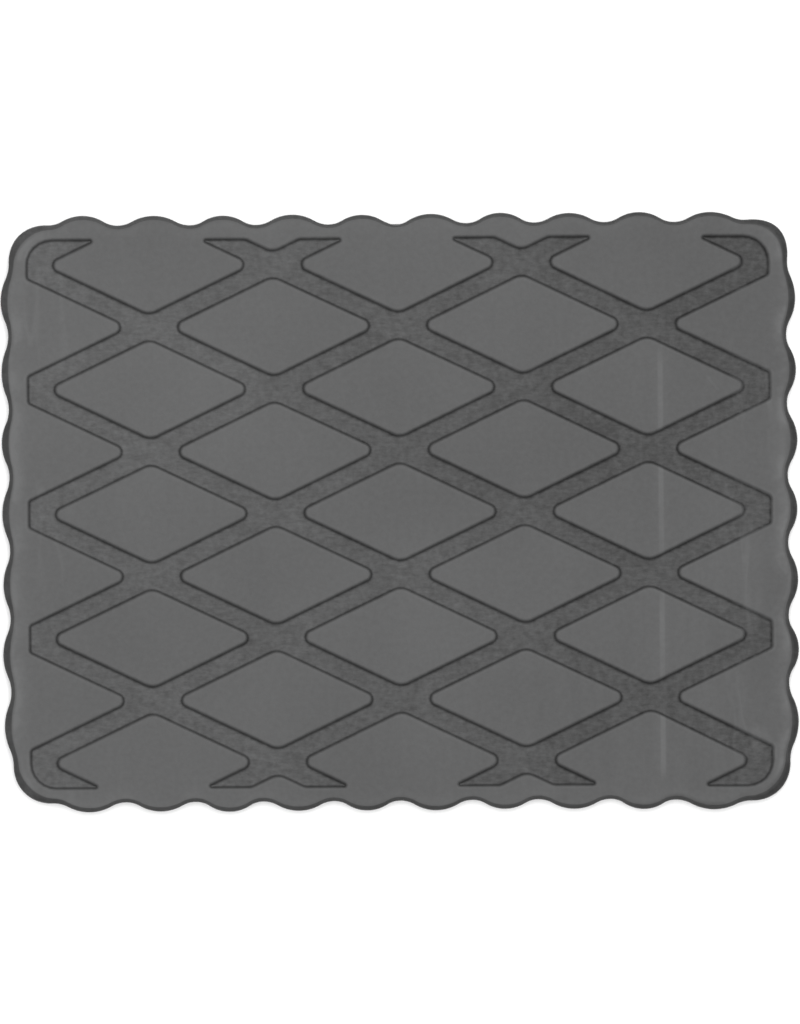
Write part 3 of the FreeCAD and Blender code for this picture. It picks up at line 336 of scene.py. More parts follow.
def block(name: str, low: Array, high: Array, radius: float) -> bpy.types.Mesh:
    """An upright block with round corners.

    Args:
        name: The mesh's name.
        low: Its lowest corner.
        high: Its highest corner.
        radius: The radius of its upright edges.

    Returns:
        The block's mesh.
    """
    corners = np.array([low[:2], [high[0], low[1]], high[:2], [low[0], high[1]]])
    loop = RoundedLoop(corners, np.full(4, radius), spacing=UNDIVIDED).offset(0)
    parts = MeshParts()
    parts.skin(np.stack([lift(loop, low[2]), lift(loop, high[2])]))
    for height in (low[2], high[2]):
        parts.flat([loop], height, UNDIVIDED)
    return parts.mesh(name)


def points_of(mesh: bpy.types.Mesh) -> Array:
    """A mesh's points, (n, 3)."""
    points = np.empty(len(mesh.vertices) * 3)
    mesh.vertices.foreach_get("co", points)
    return points.reshape(-1, 3)


# ---- shader maths


Value = "Socket | float"


@dataclass
class Socket:
    """A node's output that takes part in arithmetic."""

    graph: "Graph"
    link: bpy.types.NodeSocket

    def __add__(self, other: Value) -> "Socket":
        """The sum."""
        return self.graph.maths("ADD", self, other)

    def __sub__(self, other: Value) -> "Socket":
        """The difference."""
        return self.graph.maths("SUBTRACT", self, other)

    def __rsub__(self, other: Value) -> "Socket":
        """The difference, the other way round."""
        return self.graph.maths("SUBTRACT", other, self)

    def __mul__(self, other: Value) -> "Socket":
        """The product."""
        return self.graph.maths("MULTIPLY", self, other)

    def __abs__(self) -> "Socket":
        """The size without its sign."""
        return self.graph.maths("ABSOLUTE", self)

    def swing(self, amount: Value) -> "Socket":
        """How far a value from 0 to 1 lies from its middle, times an amount."""
        return (self - 0.5) * amount

    __radd__ = __add__
    __rmul__ = __mul__


class Graph:
    """The node tree of one material, ending in a Principled BSDF."""

    def __init__(self, name: str) -> None:
        """Starts an empty material of this name."""
        self.material = bpy.data.materials.new(name)
        self.material.use_nodes = True
        self.tree = self.material.node_tree
        self.tree.nodes.clear()
        self.place = self.node("ShaderNodeTexCoord", output="Object")

    def node(self, kind: str, settings: dict | None = None, inputs: dict | None = None,
             output: str = "") -> Socket:
        """Adds a node.

        Args:
            kind: The node's type.
            settings: Its properties, which are set first.
            inputs: Values or links of its sockets, by identifier.
            output: The identifier of the output that is wanted, or nothing for the first.

        Returns:
            That output.
        """
        made = self.tree.nodes.new(kind)
        for key, value in (settings or {}).items():
            setattr(made, key, value)
        for key, value in (inputs or {}).items():
            target = next(s for s in made.inputs if key == s.identifier)
            if isinstance(value, Socket):
                self.tree.links.new(value.link, target)
            else:
                target.default_value = value
        found = [s for s in made.outputs if output == s.identifier] or [*made.outputs, None]
        return Socket(self, found[0])

    def maths(self, operation: str, *values: Value) -> Socket:
        """A Math node's result."""
        keys = ("Value", "Value_001")
        return self.node("ShaderNodeMath", {"operation": operation}, dict(zip(keys, values)))

    def noise(self, scale: float, detail: float = 3.0, rough: float = 0.5,
              at: Socket | None = None, twist: float = 0.0) -> Socket:
        """Cloudy noise from 0 to 1, with a scale in cells per metre."""
        inputs = {"Vector": at or self.place, "Scale": scale, "Detail": detail,
                  "Roughness": rough, "Distortion": twist}
        return self.node("ShaderNodeTexNoise", None, inputs)

    def drawn_out(self, scale: Triple, detail: float = 2.0, rough: float = 0.5,
                  turn: float = 0.0, twist: float = 0.0) -> Socket:
        """Noise with a scale of its own along X, Y and Z, turned about Z by an angle."""
        inputs = {"Vector": self.place, "Rotation": (0, 0, turn), "Scale": scale}
        return self.noise(1.0, detail, rough, self.node("ShaderNodeMapping", None, inputs), twist)

    def ramp(self, value: Value, low: float, high: float, start: float = 0.0,
             end: float = 1.0) -> Socket:
        """A smooth step from start to end as a value goes from low to high."""
        inputs = {"Value": value, "From Min": low, "From Max": high, "To Min": start,
                  "To Max": end}
        return self.node("ShaderNodeMapRange", {"interpolation_type": "SMOOTHSTEP"}, inputs)

    def within(self, value: Value, near: float, far: float) -> Socket:
        """1 where a value is below near, 0 where it is above far, and smooth between."""
        return self.ramp(value, near, far, 1.0, 0.0)

    def axis(self, letter: str, of: Socket | None = None) -> Socket:
        """One coordinate, in metres."""
        return self.node("ShaderNodeSeparateXYZ", None, {"Vector": of or self.place}, letter)

    def blend(self, factor: Value, first: Sequence[float], second: Sequence[float]) -> Socket:
        """A colour between two."""
        inputs = {"Factor_Float": factor, "A_Color": (*first, 1.0), "B_Color": (*second, 1.0)}
        return self.node("ShaderNodeMix", {"data_type": "RGBA"}, inputs, "Result_Color")

    def bump(self, height: Socket, distance: float, strength: float = 1.0,
             under: Socket | None = None) -> Socket:
        """A normal that a height in units of a distance in metres bends."""
        inputs = {"Height": height, "Distance": distance, "Strength": strength}
        if under:
            inputs["Normal"] = under
        return self.node("ShaderNodeBump", None, inputs)

    def finish(self, **inputs: Value) -> bpy.types.Material:
        """Ends the tree in a Principled BSDF with these inputs.

        Args:
            inputs: Sockets by name, with underscores for spaces.

        Returns:
            The material.
        """
        named = {key.replace("_", " "): value for key, value in inputs.items()}
        shader = self.node("ShaderNodeBsdfPrincipled", None, named)
        self.node("ShaderNodeOutputMaterial", None, {"Surface": shader})
        return self.material


def grey(level: float, warmth: float = 0.0) -> Triple:
    """A near-neutral colour, a little warmer or cooler."""
    return (level * (1 + warmth), level, level * (1 - warmth))


# ---- finishes


@dataclass(frozen=True)
class MouldedRubber:
    """Charcoal rubber out of a press: blotches, scuffs, pebbled skin, painted shade and highlight.

    Its tone goes from 0, dark, to about 1, pale. Lengths are in metres.

    Attributes:
        name: The material's name.
        dark: Reflectance where the tone is 0.
        light: Reflectance where it is 1.
        step_height: Height halfway between the channel floors and the pads.
        step_blur: Half the height over which the floors' look gives way to the pads'.
        seed: Shifts the blotches.
        tone: The even part of the tone.
        fall: How much the tone falls for each metre to the right.
        swings: How much clouds, blotches and fine mottle change the tone.
        floor_swings: How much slanting grain, mottle and blotches change it on the floors too.
        floor_dull: How much darker the floors are at the left, and how much more at the right.
        haze: The share of the tone that nothing darkens.
        steep: Z of the normal where a wall is in full painted shade, and where a level face has
            none.
        shaded_wall_tone: Share of the tone that the painted shade leaves on walls.
        streak_x: Where the pale streak lies.
        streak_span: Its ends along Y.
        streak_widths: Half its width where it starts to fade, and where its line and halo end.
        streak_tones: How pale its line and its halo are.
        scratch_place: Middle of the short scratch beside it.
        scratch_turn: The scratch's turn from X, in radians.
    """

    name: str
    dark: float = 0.004
    light: float = 0.059
    step_height: float = 0.01135
    step_blur: float = 0.0005
    seed: float = 0.0
    tone: float = 0.41
    fall: float = 0.44
    swings: Triple = (0.55, 0.50, 0.65)
    floor_swings: Triple = (0.9, 0.7, 0.4)
    floor_dull: Pair = (0.02, 0.27)
    haze: float = 0.22
    steep: Pair = (0.68, 0.999)
    shaded_wall_tone: float = 0.44
    streak_x: float = 0.200
    streak_span: Pair = (-0.212, 0.132)
    streak_widths: Triple = (0.0010, 0.0029, 0.0085)
    streak_tones: Pair = (0.36, 0.10)
    scratch_place: Pair = (0.240, 0.097)
    scratch_turn: float = -0.88

    def material(self) -> bpy.types.Material:
        """The finish as a material."""
        graph = Graph(self.name)
        shift = {"Vector": graph.place, "Location": (self.seed, self.seed, 0)}
        spot = graph.node("ShaderNodeMapping", None, shift)
        x, y, z = (graph.axis(letter) for letter in "XYZ")
        raised = graph.ramp(z, self.step_height - self.step_blur,
                            self.step_height + self.step_blur)
        sunk = 1 - raised
        blotch = graph.noise(34.0, 4.0, 0.55, at=spot, twist=0.6)
        mottle = graph.noise(230.0, 3.0, 0.6, at=spot)
        slant = graph.drawn_out((150, 520, 150), 3.0, 0.6, turn=0.62)
        smear = graph.drawn_out((70, 12, 12), 3.0, 0.6, turn=0.05)
        cloudy, blotchy, mottled = self.swings
        tone = (self.tone - x * self.fall + graph.noise(6.0, 2.0, at=spot).swing(cloudy)
                + blotch.swing(blotchy) + mottle.swing(mottled)
                + smear.swing(0.10 + 0.30 * graph.ramp(x - y, 0.1, 0.45)))
        slanting, mottled, blotchy = self.floor_swings
        tone = tone + sunk * (slant.swing(slanting) + mottle.swing(mottled)
                              + blotch.swing(blotchy))
        dull_left, dull_right = self.floor_dull
        tone = tone - sunk * (dull_left + dull_right * graph.ramp(x, -0.25, 0.25))
        tone = tone + self.streak(graph, x, y) * (0.15 + 0.85 * raised)
        tone = tone + self.scuffs(graph, x) * 0.22 + self.scratch(graph, x, y) * 0.14
        rear, lit = graph.ramp(y, 0.19, 0.215), self.lit_valleys(graph, x, y)
        tone = tone + self.wear(graph, spot, x, rear, lit)
        # Painted shade: walls darker the more they lean, lifted by painted light at the rear edge
        # and in the lit valleys.
        facing = graph.node("ShaderNodeNewGeometry", output="Normal")
        unshaded = graph.maths("MAXIMUM", graph.ramp(graph.axis("Z", facing), *self.steep),
                            lit + rear * graph.ramp(y, 0.212, 0.218) * 0.4)
        tone = (self.haze + (1 - self.haze) * tone) * (self.shaded_wall_tone + (1 - self.shaded_wall_tone) * unshaded)
        rough = 0.58 + blotch.swing(0.14) + mottle.swing(0.10) + sunk * 0.08
        normal = graph.bump(graph.noise(1400.0, 2.0), 0.00003)
        pebble = graph.noise(420.0, 2.0) + sunk * slant * 2.0
        normal = graph.bump(pebble, 0.00006, under=normal)
        normal = graph.bump(blotch, 0.0003, 0.6, under=normal)
        colour = graph.blend(tone, grey(self.dark, 0.01), grey(self.light, -0.01))
        return graph.finish(Base_Color=colour, Roughness=rough, Normal=normal)

    def wear(self, graph: Graph, spot: Socket, x: Socket, rear: Socket, lit: Socket) -> Socket:
        """What the mesh's attribute of pale and dark edge lines adds to the tone.

        Where the attribute is above 0 the rubber is paler, most of all near the short sides: worn
        pad edges, and a painted highlight along the rim that is partly edge wear. Where it is
        below 0 it is a painted shade along the rim's wall, least of all at the rear, to the right
        and in the lit valleys.

        Args:
            graph: The material's tree.
            spot: Where its blotches are read.
            x: The X coordinate.
            rear: 1 at the rear edge.
            lit: 1 in the valleys that painted light lifts.

        Returns:
            The tone's change.
        """
        worn = graph.node("ShaderNodeAttribute", {"attribute_name": "edge_wear_and_light"}, output="Fac")
        pale, painted_rim_shade = (graph.maths(rule, worn, 0.0) for rule in ("MAXIMUM", "MINIMUM"))
        patch = graph.ramp(graph.noise(42.0, 3.0, 0.55, at=spot), 0.34, 0.66, 0.3, 1.6)
        side = graph.ramp(abs(x), 0.275, 0.29, 0.25, 1.0)
        # Painted shade along the rim's wall, less where painted light falls: at the rear, to the
        # right and in the lit valleys.
        away_from_light = (1.0 - 0.6 * rear - x * 0.6) * (1 - lit)
        return patch * (pale * side * 0.50 + painted_rim_shade * away_from_light * 0.25)

    def lit_valleys(self, graph: Graph, x: Socket, y: Socket) -> Socket:
        """The right side's valleys, where painted light lifts the painted shade of the rim."""
        inside = graph.within(x, 0.2935, 0.2975) * graph.ramp(x, 0.25, 0.26)
        return inside * graph.within(abs(y), 0.185, 0.20)

    def streak(self, graph: Graph, x: Socket, y: Socket) -> Socket:
        """A soft upright pale streak, broken along its length."""
        low, high = self.streak_span
        fading, *ends = self.streak_widths
        line, halo = (graph.within(abs(x - self.streak_x), fading, end) * tone
                      for end, tone in zip(ends, self.streak_tones))
        span = graph.ramp(y, low, low + 0.02) * graph.within(y, high - 0.03, high)
        return (line + halo) * span * graph.ramp(graph.drawn_out((40, 14, 9)), 0.25, 0.60,
                                                 0.35, 1.0)

    def scratch(self, graph: Graph, x: Socket, y: Socket) -> Socket:
        """A short slanting scratch, from 0 to 1."""
        aside, ahead = x - self.scratch_place[0], y - self.scratch_place[1]
        cosine, sine = math.cos(self.scratch_turn), math.sin(self.scratch_turn)
        along, across = aside * cosine + ahead * sine, ahead * cosine - aside * sine
        return graph.within(abs(along), 0.004, 0.009) * graph.within(abs(across), 0.0003, 0.0016)

    def scuffs(self, graph: Graph, x: Socket) -> Socket:
        """Faint curved creases near the short sides, from 0 to 1."""
        lines = graph.drawn_out((34, 8, 20), turn=0.25, twist=0.8)
        patch = graph.ramp(graph.noise(11.0, 1.0), 0.46, 0.62)
        return graph.within(abs(lines - 0.5), 0.0, 0.07) * graph.ramp(abs(x), 0.235, 0.275) * patch


class Grain(Enum):
    """The small-scale surface of a finish."""

    CLOUD = "cloud"
    BRUSHED = "brushed"
    FIBRE = "fibre"
    WOUND = "wound"


@dataclass(frozen=True)
class Finish:
    """An even material with a grain of its own.

    Attributes:
        name: The material's name.
        colour: Its main colour.
        shade: Its second colour, in the hollows of the grain.
        grain: The kind of grain.
        scale: Grain cells per metre.
        depth: Height of the grain in metres.
        rough: Lowest and highest roughness.
        metal: How metallic it is.
        coat: Weight of a clear coat.
    """

    name: str
    colour: Triple
    shade: Triple
    grain: Grain
    scale: float
    depth: float
    rough: Pair
    metal: float = 0.0
    coat: float = 0.0

    def material(self) -> bpy.types.Material:
        """The finish as a material."""
        graph = Graph(self.name)
        height = self.height(graph)
        wear = graph.noise(self.scale * 0.12, 3.0, 0.6)
        colour = graph.blend(height * 0.6 + wear * 0.4, self.shade, self.colour)
        return graph.finish(Base_Color=colour, Roughness=graph.ramp(wear, 0.3, 0.7, *self.rough),
                            Metallic=self.metal, Coat_Weight=self.coat,
                            Normal=graph.bump(height, self.depth))

    def height(self, graph: Graph) -> Socket:
        """The grain's height, from 0 to 1."""
        fine = self.scale
        if self.grain is Grain.BRUSHED:
            return graph.drawn_out((fine * 0.04, fine, fine))
        if self.grain is Grain.FIBRE:
            along = graph.drawn_out((fine * 0.2, fine, fine), 4.0, 0.6, 0.5, 1.5)
            across = graph.drawn_out((fine, fine * 0.2, fine), 4.0, 0.6, 0.9, 1.5)
            return graph.maths("MAXIMUM", along, across)
        if self.grain is Grain.WOUND:
            inputs = {"Vector": graph.place, "Scale": fine, "Distortion": 0.4}
            settings = {"wave_type": "BANDS", "bands_direction": "DIAGONAL"}
            return graph.node("ShaderNodeTexWave", settings, inputs, "Fac")
        return graph.noise(fine, 3.0, 0.55)


# ---- pieces


def place_piece(mesh: bpy.types.Mesh, material: bpy.types.Material, node: str) -> None:
    """Puts a rubber mesh in the scene as a piece that stands for a frame node.

    Args:
        mesh: The piece's mesh, whose name it takes.
        material: Its finish.
        node: The frame node that it stands for.
    """
    mesh.materials.clear()
    mesh.materials.append(material)
    mesh.shade_smooth()
    mesh.set_sharp_from_angle(angle=SHARP_EDGE)
    piece = bpy.data.objects.new(mesh.name, mesh)
    bpy.context.scene.collection.objects.link(piece)
    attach(piece, "root")
    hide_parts(node)
    LOG.info("%s: %d faces", piece.name, len(mesh.polygons))


def carved(mesh: bpy.types.Mesh, cutters: Sequence[bpy.types.Mesh]) -> bpy.types.Mesh:
    """A mesh less some others.

    Args:
        mesh: The closed mesh that is cut, which is used up.
        cutters: Closed meshes, which are used up too.

    Returns:
        The mesh that is left, under the same name.
    """
    name = mesh.name
    body, *tools = items = [bpy.data.objects.new(data.name, data) for data in (mesh, *cutters)]
    for item in items:
        bpy.context.scene.collection.objects.link(item)
    for tool in tools:
        modifier = body.modifiers.new(tool.name, "BOOLEAN")
        modifier.operation = "DIFFERENCE"
        modifier.solver = "MANIFOLD"
        modifier.object = tool
    bpy.context.view_layer.update()
    graph = bpy.context.evaluated_depsgraph_get()
    result = bpy.data.meshes.new_from_object(body.evaluated_get(graph))
    for item in items:
        used = item.data
        bpy.data.objects.remove(item)
        bpy.data.meshes.remove(used)
    result.name = name
    return result


@dataclass
class Rim:
    """The scalloped outline that both covers share, and how it draws in over its height.

    Attributes:
        half: Half the overall length and width.
        depth: Valley to lobe at the widest.
        pitch: Wanted distance from lobe to lobe.
        lobe_share: The lobe's share of each scallop's two radii.
        corner: Corner radius at the valley line.
        fade: How much flatter the scallops get for each millimetre that the rim draws in, along
            the long and the short sides.
        crown: The draw-in at which they stop getting flatter.
        full: How far the left side's valleys stand out past the others'.
        uneven: How much the lobes differ in length, as on a hand-trimmed mat.
        shallow: How much the flattest lobe is flatter than the deepest.
        swell: How far the corners bulge, from the right one in front anticlockwise.
        slope: How much wider the shoulder is in the corners.
        spread: How far from a corner its bulge reaches.
        steps: Straight steps in each arc.
    """

    half: Array
    depth: float = 7.7
    pitch: float = 54.0
    lobe_share: float = 0.6
    corner: float = 30.0
    fade: Pair = (0.16, 2.7 / 2.8)
    crown: float = 2.8
    full: float = 1.8
    uneven: float = 0.05
    shallow: float = 0.08
    swell: tuple[float, float, float, float] = (1.6, 5.4, 2.1, 1.5)
    slope: float = 3.4
    spread: float = 25.0
    steps: int = 7

    def side(self, straight: float, depth: float, full: float, phase: float) -> Array:
        """One side, from valley to valley.

        Each scallop is half a hollow arc, a lobe and half a hollow arc, all tangent. With half a
        pitch h and a depth d the arcs turn by 2 atan(d / h), and their radii add up to
        h / sin(turn). Length and depth wander a little from lobe to lobe, and the two end lobes
        are the longest. The valleys rise over a share 1 - t ** 8 of the side, with t from -1 to
        1 along it.

        Args:
            straight: The side's length.
            depth: Valley line to lobe.
            full: How far the valleys rise over that line.
            phase: Sets how the lobes wander.

        Returns:
            Distance along the side and height over the valley line, (m, 2).
        """
        count = max(2, round(straight / self.pitch))
        lobe = np.arange(count)[:, None]
        lengths = 1 + self.uneven * np.sin(2.9 * lobe + phase)
        lengths[[0, -1]] += self.uneven
        lengths *= straight / lengths.sum()
        half = lengths / 2
        depths = depth * (1 - self.shallow * (0.5 + 0.5 * np.sin(2.3 * lobe + phase))) - full
        lean = 2 * np.arctan(depths / half)
        radii = half / np.sin(lean)
        crown, hollow = self.lobe_share * radii, (1 - self.lobe_share) * radii
        share = np.linspace(0, 1, self.steps, endpoint=False)
        climb, fall = share * lean, (1 - share) * lean
        roll = (2 * np.linspace(0, 1, 2 * self.steps, endpoint=False) - 1) * lean
        along = [hollow * np.sin(climb), half + crown * np.sin(roll),
                 2 * half - hollow * np.sin(fall)]
        over = [hollow * (1 - np.cos(climb)), depths - crown * (1 - np.cos(roll)),
                hollow * (1 - np.cos(fall))]
        start = np.cumsum(lengths)[:, None] - lengths
        distance, rise = np.concatenate(along, axis=1) + start, np.concatenate(over, axis=1)
        rise += full * (1 - (2 * distance / straight - 1) ** 8)
        return np.stack([distance, rise], axis=-1).reshape(-1, 2)

    def loop(self, inset: float) -> Array:
        """The outline drawn in from the widest by an inset, anticlockwise.

        Args:
            inset: How far the valleys draw in.

        Returns:
            The outline, (m, 2), with as many points at every inset.
        """
        half = self.half - self.depth - inset
        corner = self.corner - inset
        angle = np.linspace(0, math.pi / 2, 3 * self.steps, endpoint=False)
        pieces = []
        for number in range(4):
            turn = number * math.pi / 2
            along = np.array([math.cos(turn), math.sin(turn)])
            outward = np.array([math.sin(turn), -math.cos(turn)])
            length, reach = half if number % 2 == 0 else half[::-1]
            straight = 2 * (length - corner)
            depth = self.depth - self.fade[number % 2] * min(inset, self.crown)
            side = self.side(straight, depth, self.full if number == 3 else 0.0, 1.7 * number)
            pieces.append(outward * (reach + side[:, 1:]) + along * (side[:, :1] - straight / 2))
            centre = outward * (reach - corner) + along * (straight / 2)
            bend = np.outer(np.sin(angle), along) + np.outer(np.cos(angle), outward)
            pieces.append(centre + corner * bend)
        return self.bulged(np.concatenate(pieces), inset)

    def bulged(self, outline: Array, inset: float) -> Array:
        """An outline with its corners pushed out at the foot and drawn in over the shoulder.

        A point at a distance d from a corner's middle moves along the corner's diagonal by a
        share exp(-(d / spread) ** 2) of the corner's swell, less the slope as far as the inset
        has come to the crown.

        Args:
            outline: The points, (m, 2).
            inset: How far the outline is drawn in.

        Returns:
            The moved points, (m, 2).
        """
        drawn = self.slope * min(inset / self.crown, 1.0)
        for swell, signs in zip(self.swell, ((1, -1), (1, 1), (-1, 1), (-1, -1))):
            away = np.array(signs) / math.sqrt(2)
            middle = np.array(signs) * (self.half - self.depth - self.corner) + self.corner * away
            share = np.exp(-np.sum((outline - middle) ** 2, axis=1) / self.spread ** 2)
            outline = outline + (swell - drawn) * share[:, None] * away
        return outline


@dataclass
class PadPattern:
    """Raised diamonds and the channels between them.

    Attributes:
        half: Half the overall length and width of the mat.
        top: Height of the pads.
        pitch: Pad to pad, along X and along Y.
        tip_gap: Gaps between the sharp tips of neighbouring pads, along X and along Y.
        side_radius: Rounding of a pad's two narrow corners.
        end_radius: Rounding of its two blunt corners.
        nip: Rounding where a pad's edge runs into the long border at a sharp angle.
        bend: Rounding where it runs into the short border.
        dip: Rounding beside the shallow notches in the long border.
        border: Plain border outside the channels, from the overall size.
        corner: Corner radius of the channelled area.
        depth: Pads to channel floors.
        run: How far a wall leans out over its height.
        wall_radii: Rounding of a wall's foot and of a pad's edge.
        wall_reach: How far the wall's skin runs on over the floor, and in two steps over the pad.
        wear: How far past its wall a pad's edge is worn.
        spacing: The longest gap between points along an edge.
    """

    half: Array
    top: float
    pitch: Pair = (190.5, 95.25)
    tip_gap: Pair = (30.5, 18.45)
    side_radius: float = 5.3
    end_radius: float = 13.0
    nip: float = 1.0
    bend: float = 3.0
    dip: float = 9.0
    border: Pair = (21.1, 19.0)
    corner: float = 19.0
    depth: float = 2.7
    run: float = 2.0
    wall_radii: Pair = (2.9, 3.4)
    wall_reach: Triple = (2.2, 2.0, 3.2)
    wear: float = 1.6
    spacing: float = 9.0

    @property
    def floor(self) -> float:
        """Height of the channel floors."""
        return self.top - self.depth

    @property
    def pad_half(self) -> Array:
        """Half a pad's sharp length and width."""
        return (np.array(self.pitch) - np.array(self.tip_gap)) / 2

    @property
    def area(self) -> Array:
        """Half the channelled area's length and width."""
        return self.half - np.array(self.border)

    @property
    def brink(self) -> float:
        """How far inside a pad's outline its worn edge lies."""
        return self.run / 2 + self.wear

    def wall(self) -> Array:
        """A wall from the channel floor up to the pad: (distance towards the pad, height)."""
        half_run, (below, above, beyond) = self.run / 2, self.wall_reach
        points = [(-half_run - below, self.floor), (-half_run, self.floor), (half_run, self.top),
                  (half_run + above, self.top)]
        path = rounded_profile(points, self.wall_radii)
        return np.concatenate([path, [(half_run + beyond, self.top)]])

    def pad(self) -> RoundedLoop:
        """One pad's outline about its centre."""
        length, width = self.pad_half
        corners = np.array([[length, 0], [0, width], [-length, 0], [0, -width]])
        radii = np.array([self.side_radius, self.end_radius] * 2)
        return RoundedLoop(corners, radii, spacing=self.spacing)

    def centres(self) -> Array:
        """Centres of the pads that stand whole inside the channelled area, (n, 2)."""
        step = np.array(self.pitch) / 2
        reach = np.ceil(self.area / step).astype(int)
        places = np.stack(np.meshgrid(*(np.arange(-n, n + 1) for n in reach)), -1).reshape(-1, 2)
        whole = np.all(np.abs(places * step) + self.pad_half < self.area, axis=1)
        return (places * step)[(places.sum(axis=1) % 2 == 0) & whole]

    def surround(self) -> RoundedLoop:
        """The outline of the channelled area, notched by the pads that run into the border.

        A pad at (cx, cy) with half sizes (a, b) has edges |x - cx| / a + |y - cy| / b = 1, and
        each edge's corner with the border is where that line meets it. The first quarter is
        written out from right to top, and the others are its reflections.
        """
        (area_x, area_y), (length, width) = self.area, self.pad_half
        column, row = self.pitch[0] / 2, self.pitch[1] / 2
        corners: list[Triple] = []
        for cy in (row, 3 * row):
            cut = width * (1 - abs(3 * column - area_x) / length)
            corners += [(area_x, cy - cut, self.bend),
                        (3 * column - length, cy, self.side_radius),
                        (area_x, cy + cut, self.bend)]
        corners.append((area_x, area_y, self.corner))
        for cx, cy, whole in ((2 * column, 4 * row, True), (column, 5 * row, False),
                              (0, 4 * row, True)):
            cut = length * (1 - abs(cy - area_y) / width)
            turn = self.nip if whole else self.dip
            tip = (cx, cy - width, self.end_radius)
            if whole:
                tips = [(cx + length, cy, self.side_radius), tip,
                        (cx - length, cy, self.side_radius)]
            else:
                tips = [tip]
            notch = [(cx + cut, area_y, turn), *tips, (cx - cut, area_y, turn)]
            corners += notch if cx else notch[:2]
        quarter = np.array(corners)
        top = np.array([[0, 4 * row - width, self.end_radius]])
        half = np.concatenate([quarter, top, quarter[::-1] * [-1, 1, 1]])
        whole_loop = np.concatenate([half, half * [-1, -1, 1]])
        return RoundedLoop(whole_loop[:, :2], whole_loop[:, 2], spacing=self.spacing)


Waves = tuple[tuple[float, float, float, float], ...]


@dataclass(frozen=True)
class Lie:
    """How the rubber lies: a little stretched, out of square and not quite level.

    A wave (a, k, l, p) is a * sin(k x + l y + p), with x and y in metres. The rise grows with
    height, so that the underside stays flat. Around its middle the sag falls off as
    exp(-u ** 2 - v ** 2), with u and v the distances over its reach.

    Attributes:
        height: The mat's height, in metres.
        along: Waves of the shift along X.
        across: Waves of the shift along Y.
        upward: Waves of the rise.
        sink: How far the top lies below its height, waves apart.
        skew: Shift along X for each metre of Y, and along Y for each metre of X.
        sag: How far the front right corner sags forwards.
        sag_middle: Where it sags most, in metres.
        sag_reach: How far that reaches, in metres.
    """

    height: float
    along: Waves = ((0.20, 0, 14, 1.1), (0.15, 23, 9, 0.0))
    across: Waves = ((0.20, 11, 0, 0.4), (0.15, 19, -13, 2.0))
    upward: Waves = ((0.09, 31, 8, 0.0), (0.08, -17, 43, 1.3), (0.05, 83, 61, 0.7),
                     (0.04, 97, -71, 2.9))
    sink: float = 0.20
    skew: Pair = (-1.8, -2.1)
    sag: float = 1.3
    sag_middle: Pair = (0.25, -0.22)
    sag_reach: Pair = (0.06, 0.05)

    def settle(self, mesh: bpy.types.Mesh) -> None:
        """Moves a mesh's points as the rubber lies."""
        points = points_of(mesh)
        x, y, z = points.T
        shift_x, shift_y, rise = (sum(size * np.sin(k * x + l * y + phase)
                                      for size, k, l, phase in waves)
                                  for waves in (self.along, self.across, self.upward))
        away = (points[:, :2] - self.sag_middle) / self.sag_reach
        shift_x += self.skew[0] * y
        shift_y += self.skew[1] * x - self.sag * np.exp(-np.sum(away ** 2, axis=1))
        rise = (rise - self.sink) * np.clip(z / self.height, 0, 1) ** 2
        points += np.column_stack([shift_x, shift_y, rise]) * MM
        mesh.vertices.foreach_set("co", points.ravel())
        mesh.update()


def nearest(points: Array, line: Array) -> Array:
    """Distances from points to the nearest of a line's points.

    The squared distance is |p| ** 2 + |q| ** 2 - 2 p . q.

    Args:
        points: The points, (n, 2).
        line: The line's points, (m, 2).

    Returns:
        The distances, (n,).
    """
    squares = np.sum(line ** 2, axis=1)[None] - 2 * points @ line.T
    return np.sqrt(np.maximum(squares.min(axis=1) + np.sum(points ** 2, axis=1), 0.0))


def mark_wear_and_light(mesh: bpy.types.Mesh, lines: Sequence[tuple[Array, float, float]]) -> None:
    """Writes pale and dark edge lines at a mesh's points, in a point attribute.

    It falls off as exp(-(d / w) ** 2) with the distance d to the points of a line, and the
    lines add up. Only points that a sparse copy of the line says are near are worked out.

    Args:
        mesh: The mesh, in metres.
        lines: For each line its points in millimetres, a width w and a strength, which is
            negative for painted shade and positive for wear and painted highlight.
    """
    places = points_of(mesh)[:, :2] / MM
    worn = np.zeros(len(places))
    for line, width, strength in lines:
        sparse = line[::6]
        stride = np.linalg.norm(sparse - np.roll(sparse, -1, axis=0), axis=1).max()
        near = np.flatnonzero(nearest(places, sparse) < 2.5 * width + stride)
        fine = np.concatenate([line, (line + np.roll(line, -1, axis=0)) / 2])
        worn[near] += strength * np.exp(-(nearest(places[near], fine) / width) ** 2)
    # Edge wear, painted highlight and painted shade, all in one attribute.
    mesh.attributes.new("edge_wear_and_light", "FLOAT", "POINT").data.foreach_set("value", worn)


def span(first: str, last: str = "") -> tuple[Array, Array]:
    """The lowest corner of a frame node and the highest of another, or of the same one."""
    return np.array(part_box(first)[0]) / MM, np.array(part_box(last or first)[1]) / MM


